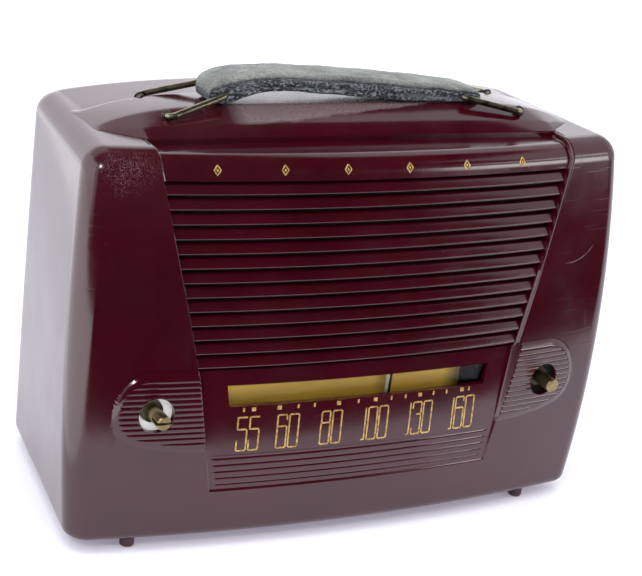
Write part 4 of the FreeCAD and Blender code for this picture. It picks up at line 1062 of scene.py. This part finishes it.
bakelite = make_bakelite()
finishes = {
    "bakelite": bakelite,
    "rubber": make_plain("rubber", (0.035, 0.012, 0.014), (0.060, 0.022, 0.024), (0.55, 0.75)),
    "steel": make_metal("steel", (0.34, 0.33, 0.31), (0.56, 0.55, 0.52)),
    "brass": make_metal("brass", (0.22, 0.165, 0.08), (0.50, 0.39, 0.20), (0.28, 0.5), strength=0.15),
    "clear": make_clear(),
    "gold_card": make_gold_card(),
    "enamel": make_plain("cream_enamel", (0.62, 0.57, 0.42), (0.72, 0.68, 0.54), (0.3, 0.45)),
    "fibre": make_plain("fibre", (0.30, 0.20, 0.11), (0.40, 0.28, 0.16), (0.7, 0.85)),
    "cloth": make_cloth(),
    "paper": make_plain("cone_paper", (0.05, 0.045, 0.04), (0.09, 0.08, 0.07), (0.8, 0.95)),
    "iron": make_metal("iron", (0.10, 0.10, 0.10), (0.20, 0.19, 0.18), (0.45, 0.65)),
    "aluminium": make_metal("aluminium", (0.52, 0.53, 0.54), (0.72, 0.73, 0.74), (0.28, 0.45)),
    "tube_glass": make_tube_glass(),
    "phenolic_black": make_plain("phenolic", (0.012, 0.011, 0.011), (0.028, 0.026, 0.025), (0.35, 0.55)),
    "battery_card": make_plain("battery_card", (0.42, 0.26, 0.10), (0.52, 0.34, 0.15), (0.6, 0.8)),
    "leather": make_leather(),
    "bail_wire": make_metal("bail_wire", (0.075, 0.065, 0.042), (0.40, 0.36, 0.26), (0.22, 0.48), 420.0, 0.3),
}
for part in frame["record"]["subparts"]:
    item = nodes[part["node"]]
    finish = finishes[part["material_slot"]]
    if item.material_slots:
        for holder in item.material_slots:
            holder.material = finish
    else:
        item.data.materials.append(finish)

glowing_felt = make_plain("pale_felt_painted_glow", (0.86, 0.85, 0.82), (0.95, 0.94, 0.92), (0.85, 0.95), strength=0.4)
# Painted shade: a near-black finish with almost no reflection, for the block past the gold card's end and the
# pointer's shadow strip.
shade = make_plain("dial_shade_black", (0.002, 0.002, 0.002), (0.006, 0.005, 0.005), (0.85, 0.95))
shader_inputs(shade)["Specular IOR Level"].default_value = 0.04
# Painted shade: both control bushings are made near black, standing in for the shadow round the shafts in
# their holes.
shade_darkened_bushing = make_metal("bushing_painted_shade", (0.035, 0.03, 0.022), (0.15, 0.13, 0.085), (0.35, 0.55))
for node in ("volume_bushing", "tuning_bushing"):
    nodes[node].material_slots[0].material = shade_darkened_bushing
pointer_paint = make_plain("pointer_paint", (0.38, 0.35, 0.22), (0.50, 0.46, 0.30), (0.35, 0.5))
nodes["dial_pointer"].material_slots[0].material = pointer_paint
thread = make_plain("waxed_thread", (0.075, 0.085, 0.085), (0.16, 0.17, 0.165), (0.5, 0.7))
# Painted light: the felt washer glows faintly, so the left control hole looks lit from behind.
shader_inputs(glowing_felt)["Emission Color"].default_value = (1.0, 1.0, 0.98, 1.0)
shader_inputs(glowing_felt)["Emission Strength"].default_value = 0.30
gilt = make_gold_paint()

make_shell(bakelite)
make_ridge(bakelite)
make_louvres(bakelite)
make_lining(bakelite)
make_hole_shade_rings(finishes["phenolic_black"])
make_figures(gilt)
make_ornaments(gilt)
make_door(bakelite)
make_strap(finishes["leather"], thread)
make_control_trim(glowing_felt, finishes["phenolic_black"])
make_dial_trim(shade)


# ---- floor, light and camera
def stage_plane(name, size_x, size_y, place, turn, material):
    mesh = bpy.data.meshes.new(name)
    x, y = size_x / 2, size_y / 2
    mesh.from_pydata([(-x, -y, 0), (x, -y, 0), (x, y, 0), (-x, y, 0)], [], [(0, 1, 2, 3)])
    mesh.materials.append(material)
    item = new_object(name, mesh)
    item.location, item.rotation_euler = place, [math.radians(a) for a in turn]
    return item


def flag(item):
    """A studio card that only reflections see."""
    item.visible_camera = item.visible_diffuse = item.visible_shadow = item.visible_transmission = False


f = Finish("floor")
f.bump(f.noise(700.0, 3.0), 0.02, 0.0003)
paper = f.done((0.84, 0.84, 0.88), 0.75, Emission_Color=(0.95, 0.86, 1.12), Emission_Strength=0.20)
stage_plane("floor", 9.0, 9.0, (0, 0, -0.0005), (0, 0, 0), paper)
f = Finish("black_flag")
f.bump(f.noise(20.0, 2.0), 0.1, 0.001)
black = f.done((0.006, 0.004, 0.005), 0.95, Specular_IOR_Level=0.0)
flag(stage_plane("front_floor_flag", 5.0, 3.0, (0.345, -1.728, 0.001), (0, 0, -4.0), black))
flag(stage_plane("front_wall_flag", 3.6, 2.0, (0.08, -1.45, 1.0), (90, 0, 0), black))
flag(stage_plane("ceiling_flag", 3.6, 1.75, (-0.2, -0.60, 1.9), (0, 0, 0), black))
flag(stage_plane("rear_ceiling_flag", 0.5, 0.83, (0.65, 0.69, 1.9), (0, 0, 0), black))
for name, wide, tall, place, turn, glow in (
        ("back_card", 6.0, 2.2, (0.2, 2.2, 1.1), (90, 0, 0), 0.75),
        ("left_card", 2.2, 3.4, (-1.9, 0.7, 1.1), (0, 90, 0), 0.95),
        ("left_floor_card", 1.5, 2.6, (-0.95, 0.75, 0.0012), (0, 0, 0), 1.2)):
    f = Finish(name)
    f.bump(f.noise(20.0, 2.0), 0.05, 0.001)
    white = f.done((0.9, 0.9, 0.9), 0.9, Emission_Color=(0.97, 0.97, 1.0), Emission_Strength=glow)
    flag(stage_plane(name, wide, tall, place, turn, white))

world = bpy.data.worlds.new("studio")
bpy.context.scene.world = world
world.use_nodes = True
world.node_tree.nodes["Background"].inputs["Color"].default_value = (0.93, 0.95, 1.0, 1.0)
world.node_tree.nodes["Background"].inputs["Strength"].default_value = 1.0


def soft_box(name, place, aim, size, power, shines):
    light = bpy.data.lights.new(name, "AREA")
    light.shape, light.size, light.size_y, light.energy = "RECTANGLE", size[0], size[1], power
    item = new_object(name, light)
    item.location = place
    item.rotation_euler = (Vector(aim) - Vector(place)).to_track_quat("-Z", "Y").to_euler()
    item.visible_glossy = shines


soft_box("top_box", (-0.4, -0.3, 1.8), (0, 0, 0.1), (1.8, 1.8), 22.0, False)
soft_box("right_box", (1.25, -1.15, 0.35), (0.05, 0, 0.14), (0.6, 0.36), 4.2, True)
soft_box("slat_box", (1.32, -1.0, 0.78), (0.05, -0.05, 0.14), (0.55, 0.16), 0.85, True)
soft_box("spark", (-1.0, -1.05, 1.10), (-0.1, 0, 0.15), (0.16, 0.16), 6.0, True)

AZIMUTH, ELEVATION, ROLL, DISTANCE = math.radians(-31.12), math.radians(20.26), math.radians(8.125), 0.8156
AIM = Vector((-0.0323, -0.0632, 0.1174))
reach, rise = math.cos(ELEVATION), math.sin(ELEVATION)
away = Vector((math.sin(AZIMUTH) * reach, -math.cos(AZIMUTH) * reach, rise))
level = away.cross(Vector((0, 0, 1))).normalized() * -1.0
upright = away.cross(level)
right = level * math.cos(ROLL) + upright * math.sin(ROLL)
upward = upright * math.cos(ROLL) - level * math.sin(ROLL)
lens = bpy.data.cameras.new("camera")
lens.sensor_width, lens.lens, lens.shift_x, lens.shift_y = 36.0, 109.6, 0.0064, 0.0053
lens.clip_start, lens.clip_end = 0.02, 30.0
camera = new_object("camera", lens)
spot = AIM + away * DISTANCE
camera.matrix_world = Matrix(((right.x, upward.x, away.x, spot.x), (right.y, upward.y, away.y, spot.y),
                              (right.z, upward.z, away.z, spot.z), (0, 0, 0, 1)))
bpy.context.scene.camera = camera
bpy.context.scene.view_settings.view_transform = "Standard"

bpy.context.view_layer.update()
